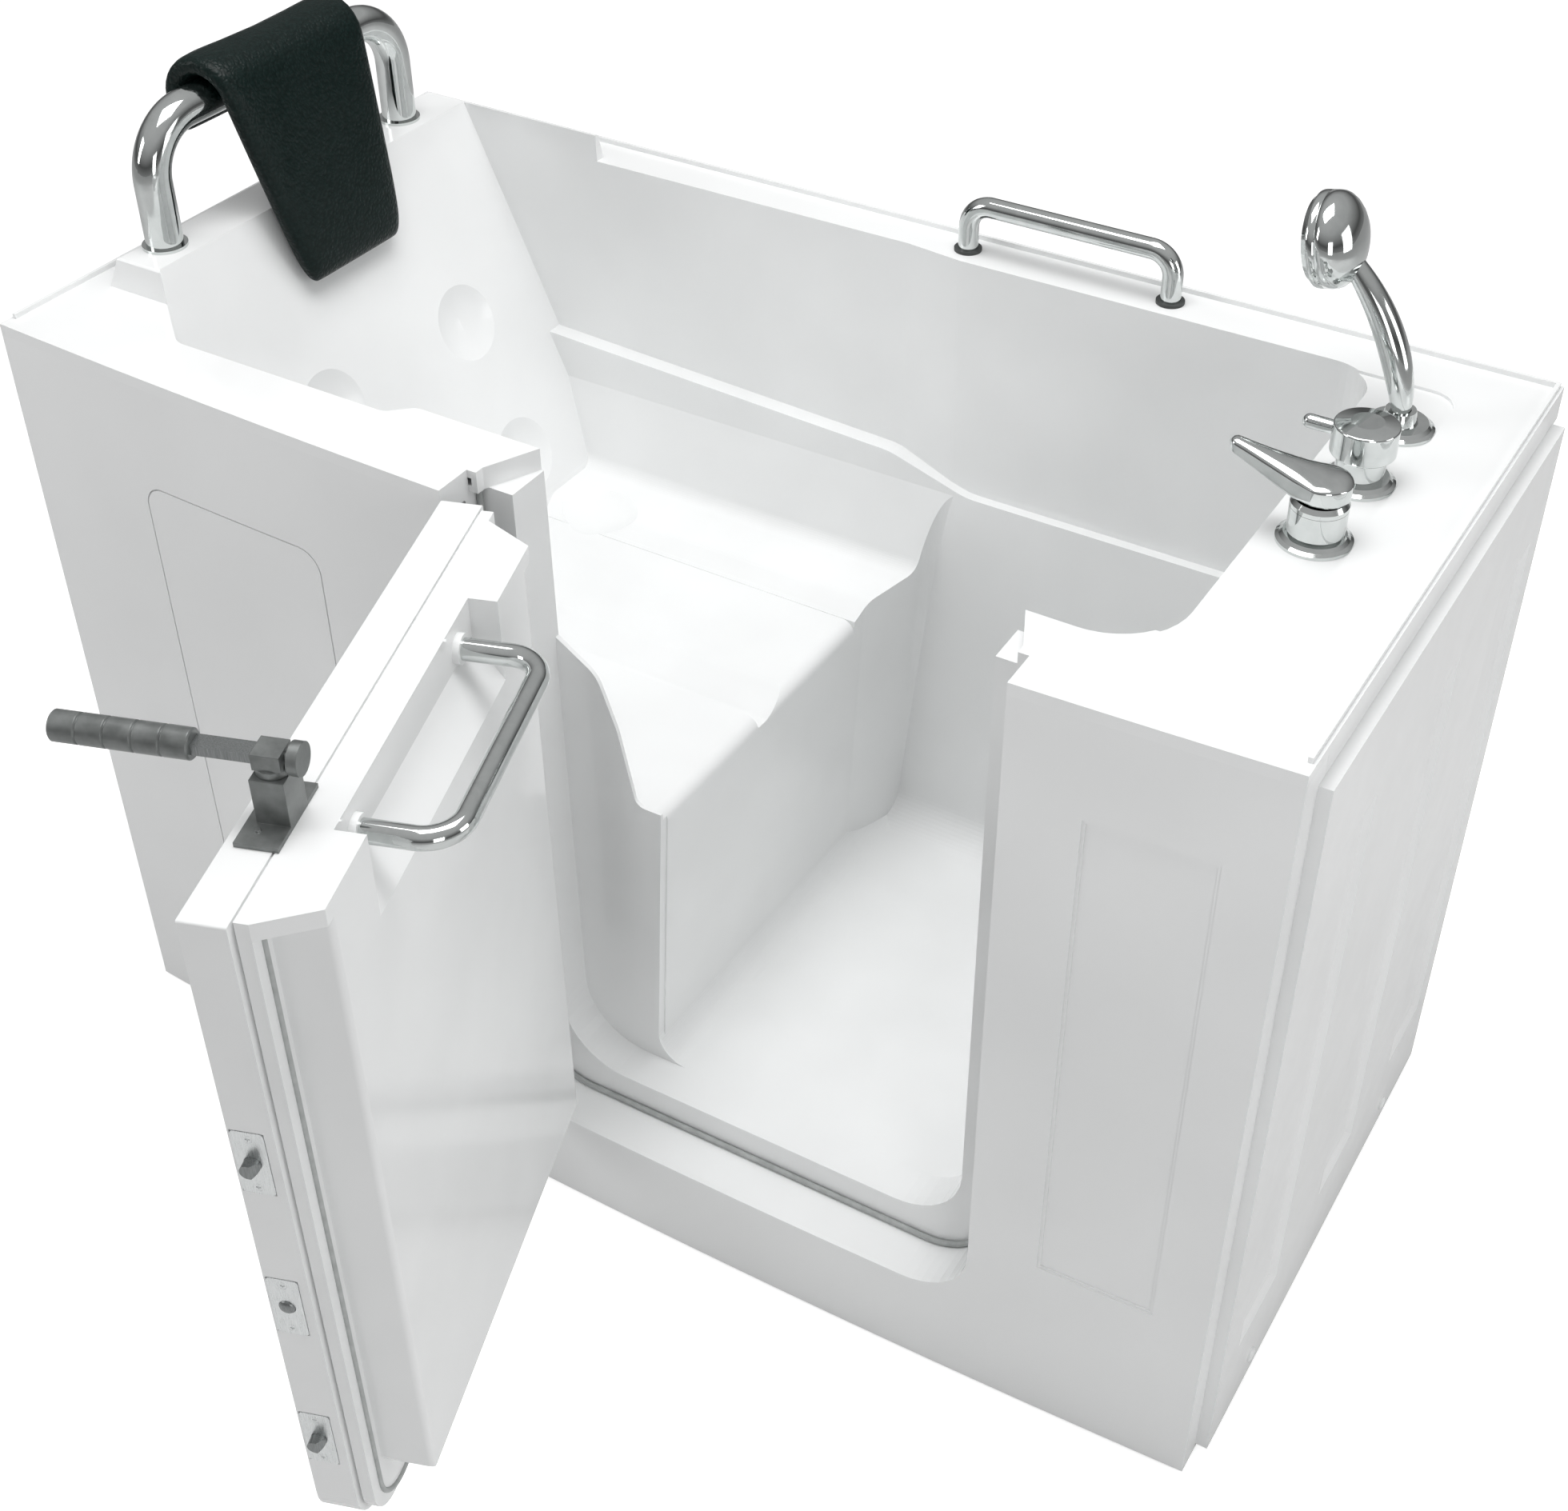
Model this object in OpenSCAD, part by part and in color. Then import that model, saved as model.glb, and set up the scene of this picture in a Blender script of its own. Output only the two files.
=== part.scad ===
// Walk in bathtub with a hinged door, a moulded seat and deck mounted taps.
// Drawn with x from the head end, y from the front corners and z from the floor,
// then moved so that the origin lies under the middle of the tub.

/* [Tub] */
// Length of the tub
tub_len = 1346; // [1300:1:1500]
// Width from the front corners to the back
tub_w = 661; // [650:1:720]
// Height of the deck
deck_h = 888; // [860:1:960]
// Outward bow of the front at its middle
front_bow = 20; // [10:1:30]
// Thickness of the moulded shell
wall = 6; // [4:0.5:7]
// Thickness of the deck
deck_t = 8; // [6:0.5:12]
// Height of the tile flange
flange_h = 5; // [3:0.5:15]
// Thickness of the tile flange
flange_t = 4; // [3:0.5:6]

/* [Bathing well] */
// Height of the foot well's floor
floor_z = 152; // [145:1:170]
// Height of the seat
seat_z = 508; // [480:1:530]
// Seat's front edge from the head end, at the floor
seat_end = 685; // [670:1:700]
// Lean of the seat's front face
riser_lean = 3.4; // [2:0.1:6]
// Rounding of the seat's front edge
seat_edge_r = 14; // [10:1:20]
// Fillet between the seat's front face and the back wall
seat_fillet_r = 28; // [20:1:40]
// Lean of the backrest
rest_lean = 24; // [20:0.5:26]
// Foot of the backrest from the head end
rest_foot = 282; // [275:1:300]
// Height of the headrest block above the deck
block_h = 30; // [20:1:40]
// Width of the deck at the tap end
shelf_w = 156; // [150:1:175]
// Deck width at the front beside the seat
rail_front = 61; // [58:1:66]
// Deck width at the front beside the door
rail_door = 82; // [81:0.5:84]
// Deck width at the back
rail_back = 61; // [58:1:64]
// Depth of the arm ledge along the back wall
ledge_w = 12; // [8:1:14]
// Height of the ledge beside the seat
ledge_seat_z = 652; // [630:1:670]
// Height of the ledge beside the door
ledge_door_z = 616; // [600:1:625]
// Diameter of the round recesses in the backrest
dimple_d = 86; // [70:1:95]
// Depth of the round recesses
dimple_depth = 9; // [6:1:12]

/* [Doorway] */
// Doorway's left side from the head end
door_left = 558.5; // [550:0.5:570]
// Width of the doorway at the front
door_w = 547.5; // [540:0.5:560]
// Height of the step below the door
step_z = 118; // [110:1:125]
// Height of the sill
sill_z = 155; // [153:1:160]
// Depth of the rebate that the door closes into
rebate_depth = 57; // [56.5:0.5:60]
// Width of the left door post inside the rebate
post_left = 37.5; // [34:0.5:42]
// Width of the right door post inside the rebate
post_right = 35; // [33:0.5:36]
// Corner radius of the rebate
rebate_r = 70; // [60:1:75]
// Corner radius of the inner opening
inner_r = 75; // [60:1:80]

/* [Door] */
// Rest angle of the door from closed
door_open = 71.8; // [60:0.1:80]
// Width of the door's outer slab
slab_w = 539; // [520:1:540]
// Thickness of the outer slab
slab_t = 37.3; // [34:0.1:38]
// Foot of the outer slab
slab_foot = 148; // [145:1:152]
// Gap between the deck and the door's top
top_drop = 5; // [3:1:10]
// Depth of the door behind the hinge axis
door_deep = 99.2; // [95:0.1:99.4]
// Height of the door's top cap
cap_h = 16; // [14:0.5:16.5]
// Width of the recess behind the door's grab bar
recess_w = 292; // [280:1:300]

/* [Fittings] */
// Tube diameter of the headrest bar
head_bar_d = 38; // [32:1:42]
// Spacing of the headrest bar's feet
head_bar_span = 368; // [350:1:380]
// Tube diameter of the deck grab bar
deck_bar_d = 21; // [18:1:25]
// Spacing of the deck grab bar's feet
deck_bar_span = 226; // [200:1:240]
// Tube diameter of the door's grab bar
door_bar_d = 19.5; // [16:0.5:22]
// Spacing of the door grab bar's feet
door_bar_span = 227; // [210:1:235]
// Spacing of the taps
tap_pitch = 106; // [98:1:110]
// Diameter of the taps' escutcheons
tap_rose_d = 66; // [60:1:66]
// Turn of the lever handle when it locks the door
lever_travel = 90; // [60:1:95]
// Width of the frame's square tubes
tube = 25; // [20:1:30]

/* [Hidden] */

// Overrun of every cut and clearances used throughout
over = 1;
fit = 0.3;
run_fit = 0.05;
arc_step = 9;
smooth = 96;

// Skirt, lips and the lines that the deck follows
skirt_t = 5;
lip_h = 12;
lip_t = 7;
skirt_foot = 2;
tap_end = tub_len - shelf_w;
back_wall = tub_w - rail_back;
back_low = back_wall - ledge_w;
back_low_lean = 18;
rest_tan = tan(rest_lean);
top_z = deck_h + block_h + over;
block_top = deck_h + block_h;
seat_end_top = seat_end + (seat_z - floor_z) * tan(riser_lean);

// The front's shallow bow
function bow_y(x) = -4 * front_bow * x * (tub_len - x) / (tub_len * tub_len);
bow_steps = 24;
bow_share = 1 / bow_steps;

// Lines of the backrest and of the seat's front face at a height
function rest_x(z) = rest_foot - (z - seat_z) * rest_tan;
function riser_x(z) = seat_end + (z - floor_z) * tan(riser_lean);

// Outline through [x, y, radius] points, each corner rounded, the whole moved outward by grow
function unit(v) = v / norm(v);
function flat(p) = [p[0], p[1]];
function corner(v, r, d1, d2, grow) =
    let (n1 = [d1[1], -d1[0]], n2 = [d2[1], -d2[0]], turn = d1[0] * d2[1] - d1[1] * d2[0])
    let (side = turn < 0 ? -1 : 1, mid = unit(n1 + n2), reach = mid * n1, q = side * r + grow)
    let (c = v - side * r * mid / reach, start = atan2(n1[1], n1[0]), sweep = atan2(turn, d1 * d2))
    let (steps = max(1, ceil(abs(sweep) / arc_step)))
    r == 0 || side * q <= 0
        ? [v + grow * mid / reach]
        : [for (k = [0 : steps]) c + q * [cos(start + sweep * k / steps), sin(start + sweep * k / steps)]];
function outline(p, grow = 0) = [
    for (i = [0 : len(p) - 1])
        let (v = flat(p[i]), a = flat(p[(i + len(p) - 1) % len(p)]), b = flat(p[(i + 1) % len(p)]))
            each corner(v, p[i][2], unit(v - a), unit(b - v), grow)
];

// Outlines drawn on the front, on the side and on the plan, pushed through between two places
module on_front(pts, y0, y1) translate([0, y1, 0]) rotate([90, 0, 0]) linear_extrude(y1 - y0) polygon(pts);
module on_side(pts, x0, x1) translate([x0, 0, 0]) rotate([90, 0, 90]) linear_extrude(x1 - x0) polygon(pts);
module on_plan(pts, z0, z1) translate([0, 0, z0]) linear_extrude(z1 - z0) polygon(pts);
module box(from, to) translate(from) cube(to - from);
module place() translate([-tub_len / 2, -tub_w / 2, 0]) children();
function rect(x0, y0, x1, y1, r = 0) = [[x0, y0, r], [x1, y0, r], [x1, y1, r], [x0, y1, r]];

// Tub: the bathing well, larger all round by grow
well_corner_r = 45;
well_front_r = 70;
rail_step_x = 430;
rail_step_w = 22;
rail_step_r = 15;
chamfer_x = 175;
chamfer_y = 134;
groove_y = 257;
groove_w = 18;
groove_rise = 42;
groove_depth = 13;
band_y = 455;
band_w = 33;
band_h = 11;
band_r = 40;
seat_back_r = 50;
floor_r = 35;
riser_foot_r = 28;
ledge_step_x = 672;
ledge_step_w = 96;
ledge_step_r = 70;
ledge_head_rise = 24;
rail_shift = 8;
rail_shift_x = 677;
rail_shift_w = 65;
seat_wall_y = 562;
seat_wall_r = 18;
wall_turn_z = ledge_door_z - 2 * fit;
riser_turn_x = 22;
riser_turn_y = 478;
riser_bend_r = 90;
rest_left = rest_x(block_top) - ledge_w;
side_lean = 10;

// A grown well stops inside the deck, and a plain one is cut through everything above
function well_top(grow) = grow > 0 ? deck_h - deck_t / 2 - grow : top_z;

function well_front() = [
    [rest_left, chamfer_y, 0], [chamfer_x, rail_front, 25], [rail_step_x, rail_front, rail_step_r],
    [rail_step_x + rail_step_w, rail_door, rail_step_r], [tap_end, rail_door, well_front_r]
];
function low_plan() = concat(well_front(), [[tap_end, back_low, well_corner_r], [rest_left, back_low, 0]]);
function high_plan() = concat(well_front(), [
    [tap_end, back_wall, well_corner_r], [rail_shift_x + rail_shift_w, back_wall, 30],
    [rail_shift_x, back_wall + rail_shift, 30], [rest_left, back_wall + rail_shift, 0]
]);

module upper_well(grow) {
    top = well_top(grow);
    low = seat_z - groove_depth;
    intersection() {
        on_front(outline([
            [rest_x(low), low, seat_back_r], [tub_len, low, 0], [tub_len, top, 0], [rest_x(top), top, 0]
        ], grow), 0, tub_w);
        on_side(outline([
            [0, seat_z, 0], [groove_y, seat_z, 0], [groove_y, low, 3], [groove_y + groove_w, low, 8],
            [groove_y + groove_w + groove_rise, seat_z, 20], [band_y, seat_z, band_r],
            [band_y + band_w, seat_z + band_h, band_r], [seat_wall_y, seat_z + band_h, seat_wall_r],
            [back_low + fit, wall_turn_z, 0], [tub_w, wall_turn_z, 0], [tub_w, top, 0], [0, top, 0]
        ], grow), 0, tub_len);
        union() {
            on_plan(outline(low_plan(), grow), low - grow, top + grow);
            intersection() {
                on_plan(outline(high_plan(), grow), low - grow, top + grow);
                on_front(outline([
                    [0, ledge_seat_z + ledge_head_rise, 0], [ledge_step_x, ledge_seat_z - wall, ledge_step_r],
                    [ledge_step_x + ledge_step_w, ledge_door_z, ledge_step_r], [tub_len, ledge_door_z, 0],
                    [tub_len, top, 0], [0, top, 0]
                ], grow), 0, tub_w);
            }
        }
    }
}

module foot_well(grow) {
    top = wall_turn_z;
    intersection() {
        on_front(outline([
            [riser_x(floor_z), floor_z, riser_foot_r], [tap_end - side_lean, floor_z, floor_r],
            [tap_end, seat_z + floor_r, 0], [tap_end, top, 0], [riser_x(top), top, 0]
        ], grow), 0, tub_w);
        on_side(outline([
            [rail_door, floor_z, 0], [back_low - back_low_lean, floor_z, floor_r],
            [back_low, top, 0], [rail_door, top, 0]
        ], grow), 0, tub_len);
        on_plan(outline([
            [rest_foot, rail_door, 0], [tap_end, rail_door, well_front_r],
            [tap_end, back_wall, well_corner_r], [rest_foot, back_wall, 0]
        ], grow), floor_z - grow - over, top + grow + over);
        translate([seat_end, 0, floor_z])
            rotate([0, riser_lean, 0])
            on_plan(outline([
                [-fit, 0, 0], [tub_len, 0, 0], [tub_len, back_low + fit, 0],
                [riser_turn_x, back_low + fit, seat_fillet_r], [-fit, riser_turn_y, riser_bend_r]
            ], grow), -seat_z, seat_z);
    }
}

module seat_edge(grow) {
    low = seat_z - 3 * seat_edge_r;
    on_front(outline([
        [rest_foot, seat_z, 0], [seat_end_top, seat_z, seat_edge_r], [riser_x(low), low, 0],
        [seat_end_top + seat_edge_r, low, 0], [seat_end_top + seat_edge_r, seat_z + seat_edge_r, 0],
        [rest_foot, seat_z + seat_edge_r, 0]
    ], grow), rail_door - grow, band_y);
}

dimple_y = [247, 472];
dimple_z = [572, 724];
dimple_r = (dimple_d * dimple_d / 4 + dimple_depth * dimple_depth) / (2 * dimple_depth);
module dimples(grow) {
    for (y = dimple_y)
        for (z = dimple_z)
            translate([rest_x(z), y, z])
                rotate([0, 90 - rest_lean, 0])
                translate([0, 0, dimple_r - dimple_depth])
                sphere(dimple_r + grow, $fn = smooth);
}

module well(grow) {
    upper_well(grow);
    foot_well(grow);
    seat_edge(grow);
    dimples(grow);
}

// Doorway, in a frame whose x runs along the closed door from the hinge axis
leaf_t = 1.5;
leaf_gap = 0.5;
knuckle_r = 3.5;
hinge_x = door_left + leaf_t + leaf_gap / 2;
hinge_y = bow_y(hinge_x) - knuckle_r - leaf_gap / 2;
door_turn = atan((bow_y(door_left + door_w) - bow_y(door_left)) / door_w);
module at_doorway() translate([hinge_x, hinge_y, 0]) rotate([0, 0, door_turn]) children();
module at_door() translate([hinge_x, hinge_y, 0]) rotate([0, 0, door_turn - door_open]) children();

jamb_l = door_left - hinge_x;
jamb_r = jamb_l + door_w;
post_l = jamb_l + post_left;
post_r = jamb_r - post_right;
lug_w = 10;
lug_depth = 43.5;
lug_end = 53;
post_drop = 22;
post_top = deck_h - post_drop;
web_t = 5;
ring_end = rail_door - web_t - hinge_y - post_l * sin(door_turn);
flare_end = rail_door - hinge_y + web_t;
front_run = 60;

function jamb_outline(foot, r, l, right, top) = [[l, foot, r], [right, foot, r], [right, top, 0], [l, top, 0]];
module rebate(grow) {
    on_front(outline(jamb_outline(step_z, rebate_r, jamb_l, jamb_r, top_z), grow), -front_run, lug_depth);
    on_front(outline(jamb_outline(step_z, rebate_r, jamb_l, jamb_r, post_top), grow), 0, rebate_depth + grow);
}
module inner_opening(grow) {
    on_front(outline(jamb_outline(sill_z, inner_r, post_l, post_r, post_top + over), grow),
        rebate_depth - over, ring_end + grow);
}
module flare(grow) {
    on_plan(outline([
        [jamb_l + lug_w, lug_depth - over, 0], [jamb_r - lug_w, lug_depth - over, 0],
        [jamb_r - lug_w, lug_end, 0], [post_r, flare_end, 0], [post_l, flare_end, 0],
        [jamb_l + lug_w, lug_end, 0]
    ], grow), post_top - grow, top_z);
}

// Way from the doorway into the well, beside the web that closes the seat's front corner
web_shares = [[1, 1, 0], [0.6, 0.83, 35], [0.42, 0.5, 60], [0.26, 0, 12]];
web_top = 684;
web_reach = seat_end_top - door_left - post_left;
module way_in() {
    riser_l = seat_end - hinge_x;
    on_front(outline(concat(
        [[riser_l, sill_z, riser_foot_r + wall], [post_r, sill_z, inner_r], [post_r, top_z, 0],
            [post_l, top_z, 0]],
        [for (s = web_shares)
            [post_l + web_reach * (1 - s[0]), seat_z + (web_top - seat_z) * s[1], s[2]]],
        [[seat_end_top - hinge_x, seat_z, 0]]
    )), ring_end - over, flare_end);
}

// Footprint up to the bowed front, moved back by inset
function footprint(inset) = concat(
    [for (i = [0 : bow_steps]) [tub_len * i * bow_share, bow_y(tub_len * i * bow_share) + inset]],
    [[tub_len, tub_w], [0, tub_w]]
);
module bow_slab(t, z0, z1) {
    difference() {
        on_plan(footprint(0), z0, z1);
        translate([0, t, -over]) on_plan(footprint(0), z0, z1 + 3 * over);
        box([-over, t, z0 - over], [tub_len + over, tub_w + t + over, z1 + over]);
    }
}

// Deck, its lips, the tap shelf, the headrest block and the tile flange
shelf_depth = 3;
shelf_line = 76;
shelf_front = 110;
shelf_back = 69;
shelf_front_r = 20;
shelf_back_r = 28;
block_front = 113;
block_back = 40;
block_left = 36;
block_slope = 9;
block_draft = 8;
flange_start = 15;
flange_inset = 3;

module headrest_block(grow) {
    top = block_top + grow;
    intersection() {
        on_front(outline([
            [block_left, deck_h - over, 0], [rest_foot, deck_h - over, 0], [rest_foot, block_top, 0],
            [block_left + block_slope, block_top, 3]
        ], grow), 0, tub_w);
        on_side(outline([
            [block_front, deck_h - over, 0], [tub_w - block_back, deck_h - over, 0],
            [tub_w - block_back - block_draft, block_top, 3], [block_front + block_draft, block_top, 3]
        ], grow), 0, rest_foot);
        box([0, 0, deck_h - deck_t / 2], [rest_foot, tub_w, top]);
    }
}

// Space under the block, open below and a wall's thickness behind the backrest
module block_hollow() {
    foot = deck_h - deck_t - over;
    roof = block_top - wall;
    behind = wall / cos(rest_lean);
    intersection() {
        on_front([
            [block_left + wall, foot], [rest_x(foot) - behind, foot],
            [rest_x(roof) - behind, roof], [block_left + block_slope + wall, roof]
        ], 0, tub_w);
        on_side([
            [block_front + wall, foot], [tub_w - block_back - wall, foot],
            [tub_w - block_back - block_draft - wall, roof], [block_front + block_draft + wall, roof]
        ], 0, rest_foot);
    }
}

module deck_plate() {
    on_plan(footprint(0), deck_h - deck_t, deck_h);
    bow_slab(lip_t, deck_h - lip_h, deck_h - over);
    for (x = [0, tub_len - lip_t])
        box([x, 0, deck_h - lip_h], [x + lip_t, tub_w, deck_h - over]);
    box([tub_len - lip_t, return_w + fit, deck_h - end_drop - 2 * over], [tub_len, tub_w, deck_h - over]);
}

module tile_flange() {
    inner = flange_inset + flange_t;
    difference() {
        box([flange_inset, flange_start, deck_h - over], [tub_len - flange_inset, tub_w - flange_inset, deck_h + flange_h]);
        box([inner, -over, deck_h - 2 * over], [tub_len - inner, tub_w - inner, deck_h + flange_h + over]);
    }
}

module tub_shell() color("white") place() {
    difference() {
        union() {
            deck_plate();
            tile_flange();
            headrest_block(0);
            well(wall);
            intersection() {
                on_plan(footprint(skirt_t), 0, deck_h - over);
                at_doorway() {
                    rebate(wall);
                    inner_opening(wall);
                    flare(wall);
                }
            }
        }
        well(0);
        at_doorway() {
            rebate(0);
            inner_opening(0);
            flare(0);
            way_in();
        }
        on_plan(outline([
            [tap_end - shelf_line, shelf_front, 0], [tub_len - shelf_line, shelf_front, shelf_front_r],
            [tub_len - shelf_line, tub_w - shelf_back, shelf_back_r], [tap_end - shelf_line, tub_w - shelf_back, 0]
        ]), deck_h - shelf_depth, top_z);
        at_doorway() strike_slots();
        drain_cut(drain_neck_r + fit);
        translate([overflow_x - wall, drain_y, overflow_z]) rotate([0, 90, 0])
            cylinder(r = branch_bore_r, h = 3 * wall, $fn = smooth);
        for (k = [0 : 2])
            at_tap(k) translate([0, 0, -shank_len]) cylinder(r = shank_r + fit, h = 2 * shank_len, $fn = smooth);
        block_hollow();
    }
}

// Skirt: one bowed sheet with a doorway, a rebated access opening and a shallow field
return_w = 45;
skirt_top = deck_h - lip_h;
access_left = 168;
access_w = 229;
access_z = 215;
access_h = 549;
access_r = 25;
access_gap = 1.6;
access_t = 3;
access_rest = 12;
field_inset = 169;
field_left = tub_len - field_inset;
field_w = 116;
field_z = 217;
field_h = 560;
field_depth = 2.5;
field_bevel = 3;

module access_shape(grow, y1) {
    on_front(outline(rect(access_left, access_z, access_left + access_w, access_z + access_h, access_r), grow),
        -front_run, y1);
}

module front_skirt() color("whitesmoke") place() {
    difference() {
        union() {
            bow_slab(skirt_t, skirt_foot, skirt_top);
            for (x = [0, tub_len - skirt_t])
                box([x, skirt_t / 2, skirt_foot], [x + skirt_t, return_w, skirt_top]);
        }
        at_doorway() on_front(outline(jamb_outline(step_z, rebate_r, jamb_l, jamb_r, top_z)), -front_run, front_run);
        access_shape(-access_rest, front_run);
        intersection() {
            access_shape(0, front_run);
            bow_slab(access_t, 0, deck_h);
        }
        for (k = [0, 1])
            intersection() {
                on_front(outline(rect(field_left, field_z, field_left + field_w, field_z + field_h, 0),
                    -k * field_bevel), -front_run, front_run);
                bow_slab(field_depth * (1 + k) / 2, 0, deck_h);
            }
    }
}

module access_panel() color("whitesmoke") place() {
    intersection() {
        access_shape(-access_gap, front_run);
        bow_slab(access_t, 0, deck_h);
    }
}

// End panel: a slab with bevelled fields, held by two capped screws at its foot
end_t = 12;
end_front = 32;
end_back = 16;
end_foot = 8;
end_drop = 32;
end_fields = 3;
end_field_w = 99;
end_field_z = 115;
end_field_top = 106;
end_field_first = 48;
end_field_pitch = 216;
end_bevel = 12;
end_depth = 5;
end_screw_y = [134, 524];
end_screw_z = 40;
end_screw_r = 8;
end_screw_h = 4;
end_shank_r = 3;
end_shank_len = 34;

module end_screw_holes() {
    for (y = end_screw_y)
        translate([tub_len + end_t, y, end_screw_z])
            rotate([0, -90, 0])
            translate([0, 0, -over]) cylinder(r = end_shank_r + run_fit, h = end_shank_len + 2 * over, $fn = smooth);
}

module end_panel() color("whitesmoke") place() {
    x1 = tub_len + end_t;
    difference() {
        box([tub_len, end_front, end_foot], [x1, tub_w - end_back, deck_h - end_drop]);
        end_screw_holes();
        for (k = [0 : end_fields - 1]) {
            y0 = end_front + end_field_first + k * end_field_pitch;
            y1 = y0 + end_field_w;
            z1 = deck_h - end_drop - end_field_top;
            intersection() {
                on_plan([[x1 - end_depth, y0 + end_bevel], [x1 + over, y0 - over],
                    [x1 + over, y1 + over], [x1 - end_depth, y1 - end_bevel]], 0, deck_h);
                on_front([[x1 - end_depth, end_field_z + end_bevel], [x1 + over, end_field_z - over],
                    [x1 + over, z1 + over], [x1 - end_depth, z1 - end_bevel]], 0, tub_w);
            }
        }
    }
}

module end_panel_screws() color("gainsboro") place() {
    for (y = end_screw_y)
        translate([tub_len + end_t, y, end_screw_z])
            rotate([0, 90, 0])
            {
                rotate_extrude($fn = smooth)
                    polygon([[0, 0], [end_screw_r, 0], [end_screw_r, end_screw_h / 2],
                        [end_screw_r / 2, end_screw_h], [0, end_screw_h]]);
                translate([0, 0, -end_shank_len]) cylinder(r = end_shank_r, h = end_shank_len, $fn = smooth);
            }
}

// Support frame of square tube, standing on threaded feet
rail_z = 28;
frame_front = 10;
frame_back = 7;
frame_end = 9;
cross_x = [15, 500, 1130];
seat_post_y = [180, 400];
floor_post_y = [200, 480];
mid_rail_y = (tub_w - tube) / 2;
foot_pad_r = 16;
foot_pad_h = 8;
foot_stem_r = 6;
foot_nut_r = 10;
foot_nut_h = 7;
frame_x = concat(cross_x, [tub_len - tube - frame_end]);
back_y = tub_w - frame_back - tube;
feet = concat(
    [for (x = frame_x) for (y = [frame_front, back_y]) [x + tube / 2, y + tube / 2]],
    [[tub_len / 2, tub_w / 2]]
);

module support_frame() color("dimgray") place() {
    difference() {
        union() {
            for (y = [frame_front, back_y])
                box([frame_x[0], y, rail_z], [frame_x[3] + tube, y + tube, rail_z + tube]);
            for (x = frame_x) {
                box([x, frame_front, rail_z], [x + tube, back_y + tube, rail_z + tube]);
                for (y = [frame_front, back_y])
                    box([x, y, rail_z], [x + tube, y + tube, deck_h - deck_t]);
            }
            box([frame_x[1], mid_rail_y, rail_z], [frame_x[2] + tube, mid_rail_y + tube, rail_z + tube]);
            for (y = seat_post_y)
                box([frame_x[1], y, rail_z], [frame_x[1] + tube, y + tube, seat_z - wall]);
            for (y = floor_post_y)
                box([frame_x[2], y, rail_z], [frame_x[2] + tube, y + tube, floor_z - wall]);
        }
        for (p = feet)
            translate([p[0], p[1], rail_z - over])
                cylinder(r = foot_stem_r + run_fit, h = tube, $fn = smooth);
        end_screw_holes();
    }
}

module levelling_feet() color("silver") place() {
    for (p = feet)
        translate([p[0], p[1], 0]) {
            cylinder(r = foot_pad_r, h = foot_pad_h, $fn = smooth);
            cylinder(r = foot_stem_r, h = rail_z + tube / 2, $fn = smooth);
            translate([0, 0, rail_z - foot_nut_h]) cylinder(r = foot_nut_r, h = foot_nut_h, $fn = 6);
        }
}

// Drain in the floor and overflow in the end wall, joined by a waste pipe
drain_x = 1105;
drain_shift = 24.5;
drain_y = tub_w / 2 + drain_shift;
drain_r = 36;
drain_t = 3;
drain_bore_r = 17.3;
drain_neck_r = 24;
drain_neck = 34;
pipe_r = 21;
pipe_bore_r = 17.3;
pipe_z = 95;
stopper_r = 26;
stopper_t = 6;
stopper_stem_r = 5;
stopper_stem = 24;
stopper_gap = 0.3;
spider_r = 8;
spider_t = 4;
spider_arm = 3;
overflow_z = 760;
overflow_x = tap_end;
overflow_run = 34;
plate_r = 36;
plate_t = 6;
knob_r = 20;
knob_t = 14;
knob_shaft_r = 5;
knob_bevel = 3;
outlet_inset = 12;
outlet_y = tub_w - outlet_inset;
branch_r = 19;
branch_bore_r = 15;
spigot_r = 19.05;
spigot_len = 40;

module drain_cut(r) translate([drain_x, drain_y, floor_z - wall - over]) cylinder(r = r, h = 4 * wall, $fn = smooth);

module drain_flange() color("silver") place() translate([drain_x, drain_y, floor_z]) {
    difference() {
        union() {
            rotate_extrude($fn = smooth)
                polygon([[0, 0], [drain_r, 0], [drain_r, drain_t / 3], [drain_r - drain_t, drain_t], [0, drain_t]]);
            translate([0, 0, -drain_neck]) cylinder(r = drain_neck_r, h = drain_neck + over, $fn = smooth);
        }
        translate([0, 0, -drain_neck - over]) cylinder(r = drain_bore_r, h = drain_neck * 2, $fn = smooth);
    }
    translate([0, 0, -drain_neck])
        difference() {
            union() {
                cylinder(r = spider_r, h = spider_t, $fn = smooth);
                for (a = [0 : 120 : 359])
                    rotate([0, 0, a]) translate([0, -spider_arm / 2, 0]) cube([drain_bore_r + over, spider_arm, spider_t]);
            }
            translate([0, 0, -over]) cylinder(r = stopper_stem_r + run_fit, h = spider_t * 2, $fn = smooth);
        }
}

module drain_stopper() color("silver") place() translate([drain_x, drain_y, floor_z + drain_t + stopper_gap]) {
    rotate_extrude($fn = smooth)
        polygon([[0, 0], [stopper_r - stopper_t / 3, 0], [stopper_r, stopper_t / 3], [stopper_r, stopper_t / 2],
            [stopper_r / 2, stopper_t], [0, stopper_t]]);
    translate([0, 0, -drain_neck - stopper_gap - drain_t - spider_t])
        cylinder(r = stopper_stem_r, h = drain_neck + drain_t + 2 * spider_t, $fn = smooth);
}

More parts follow.
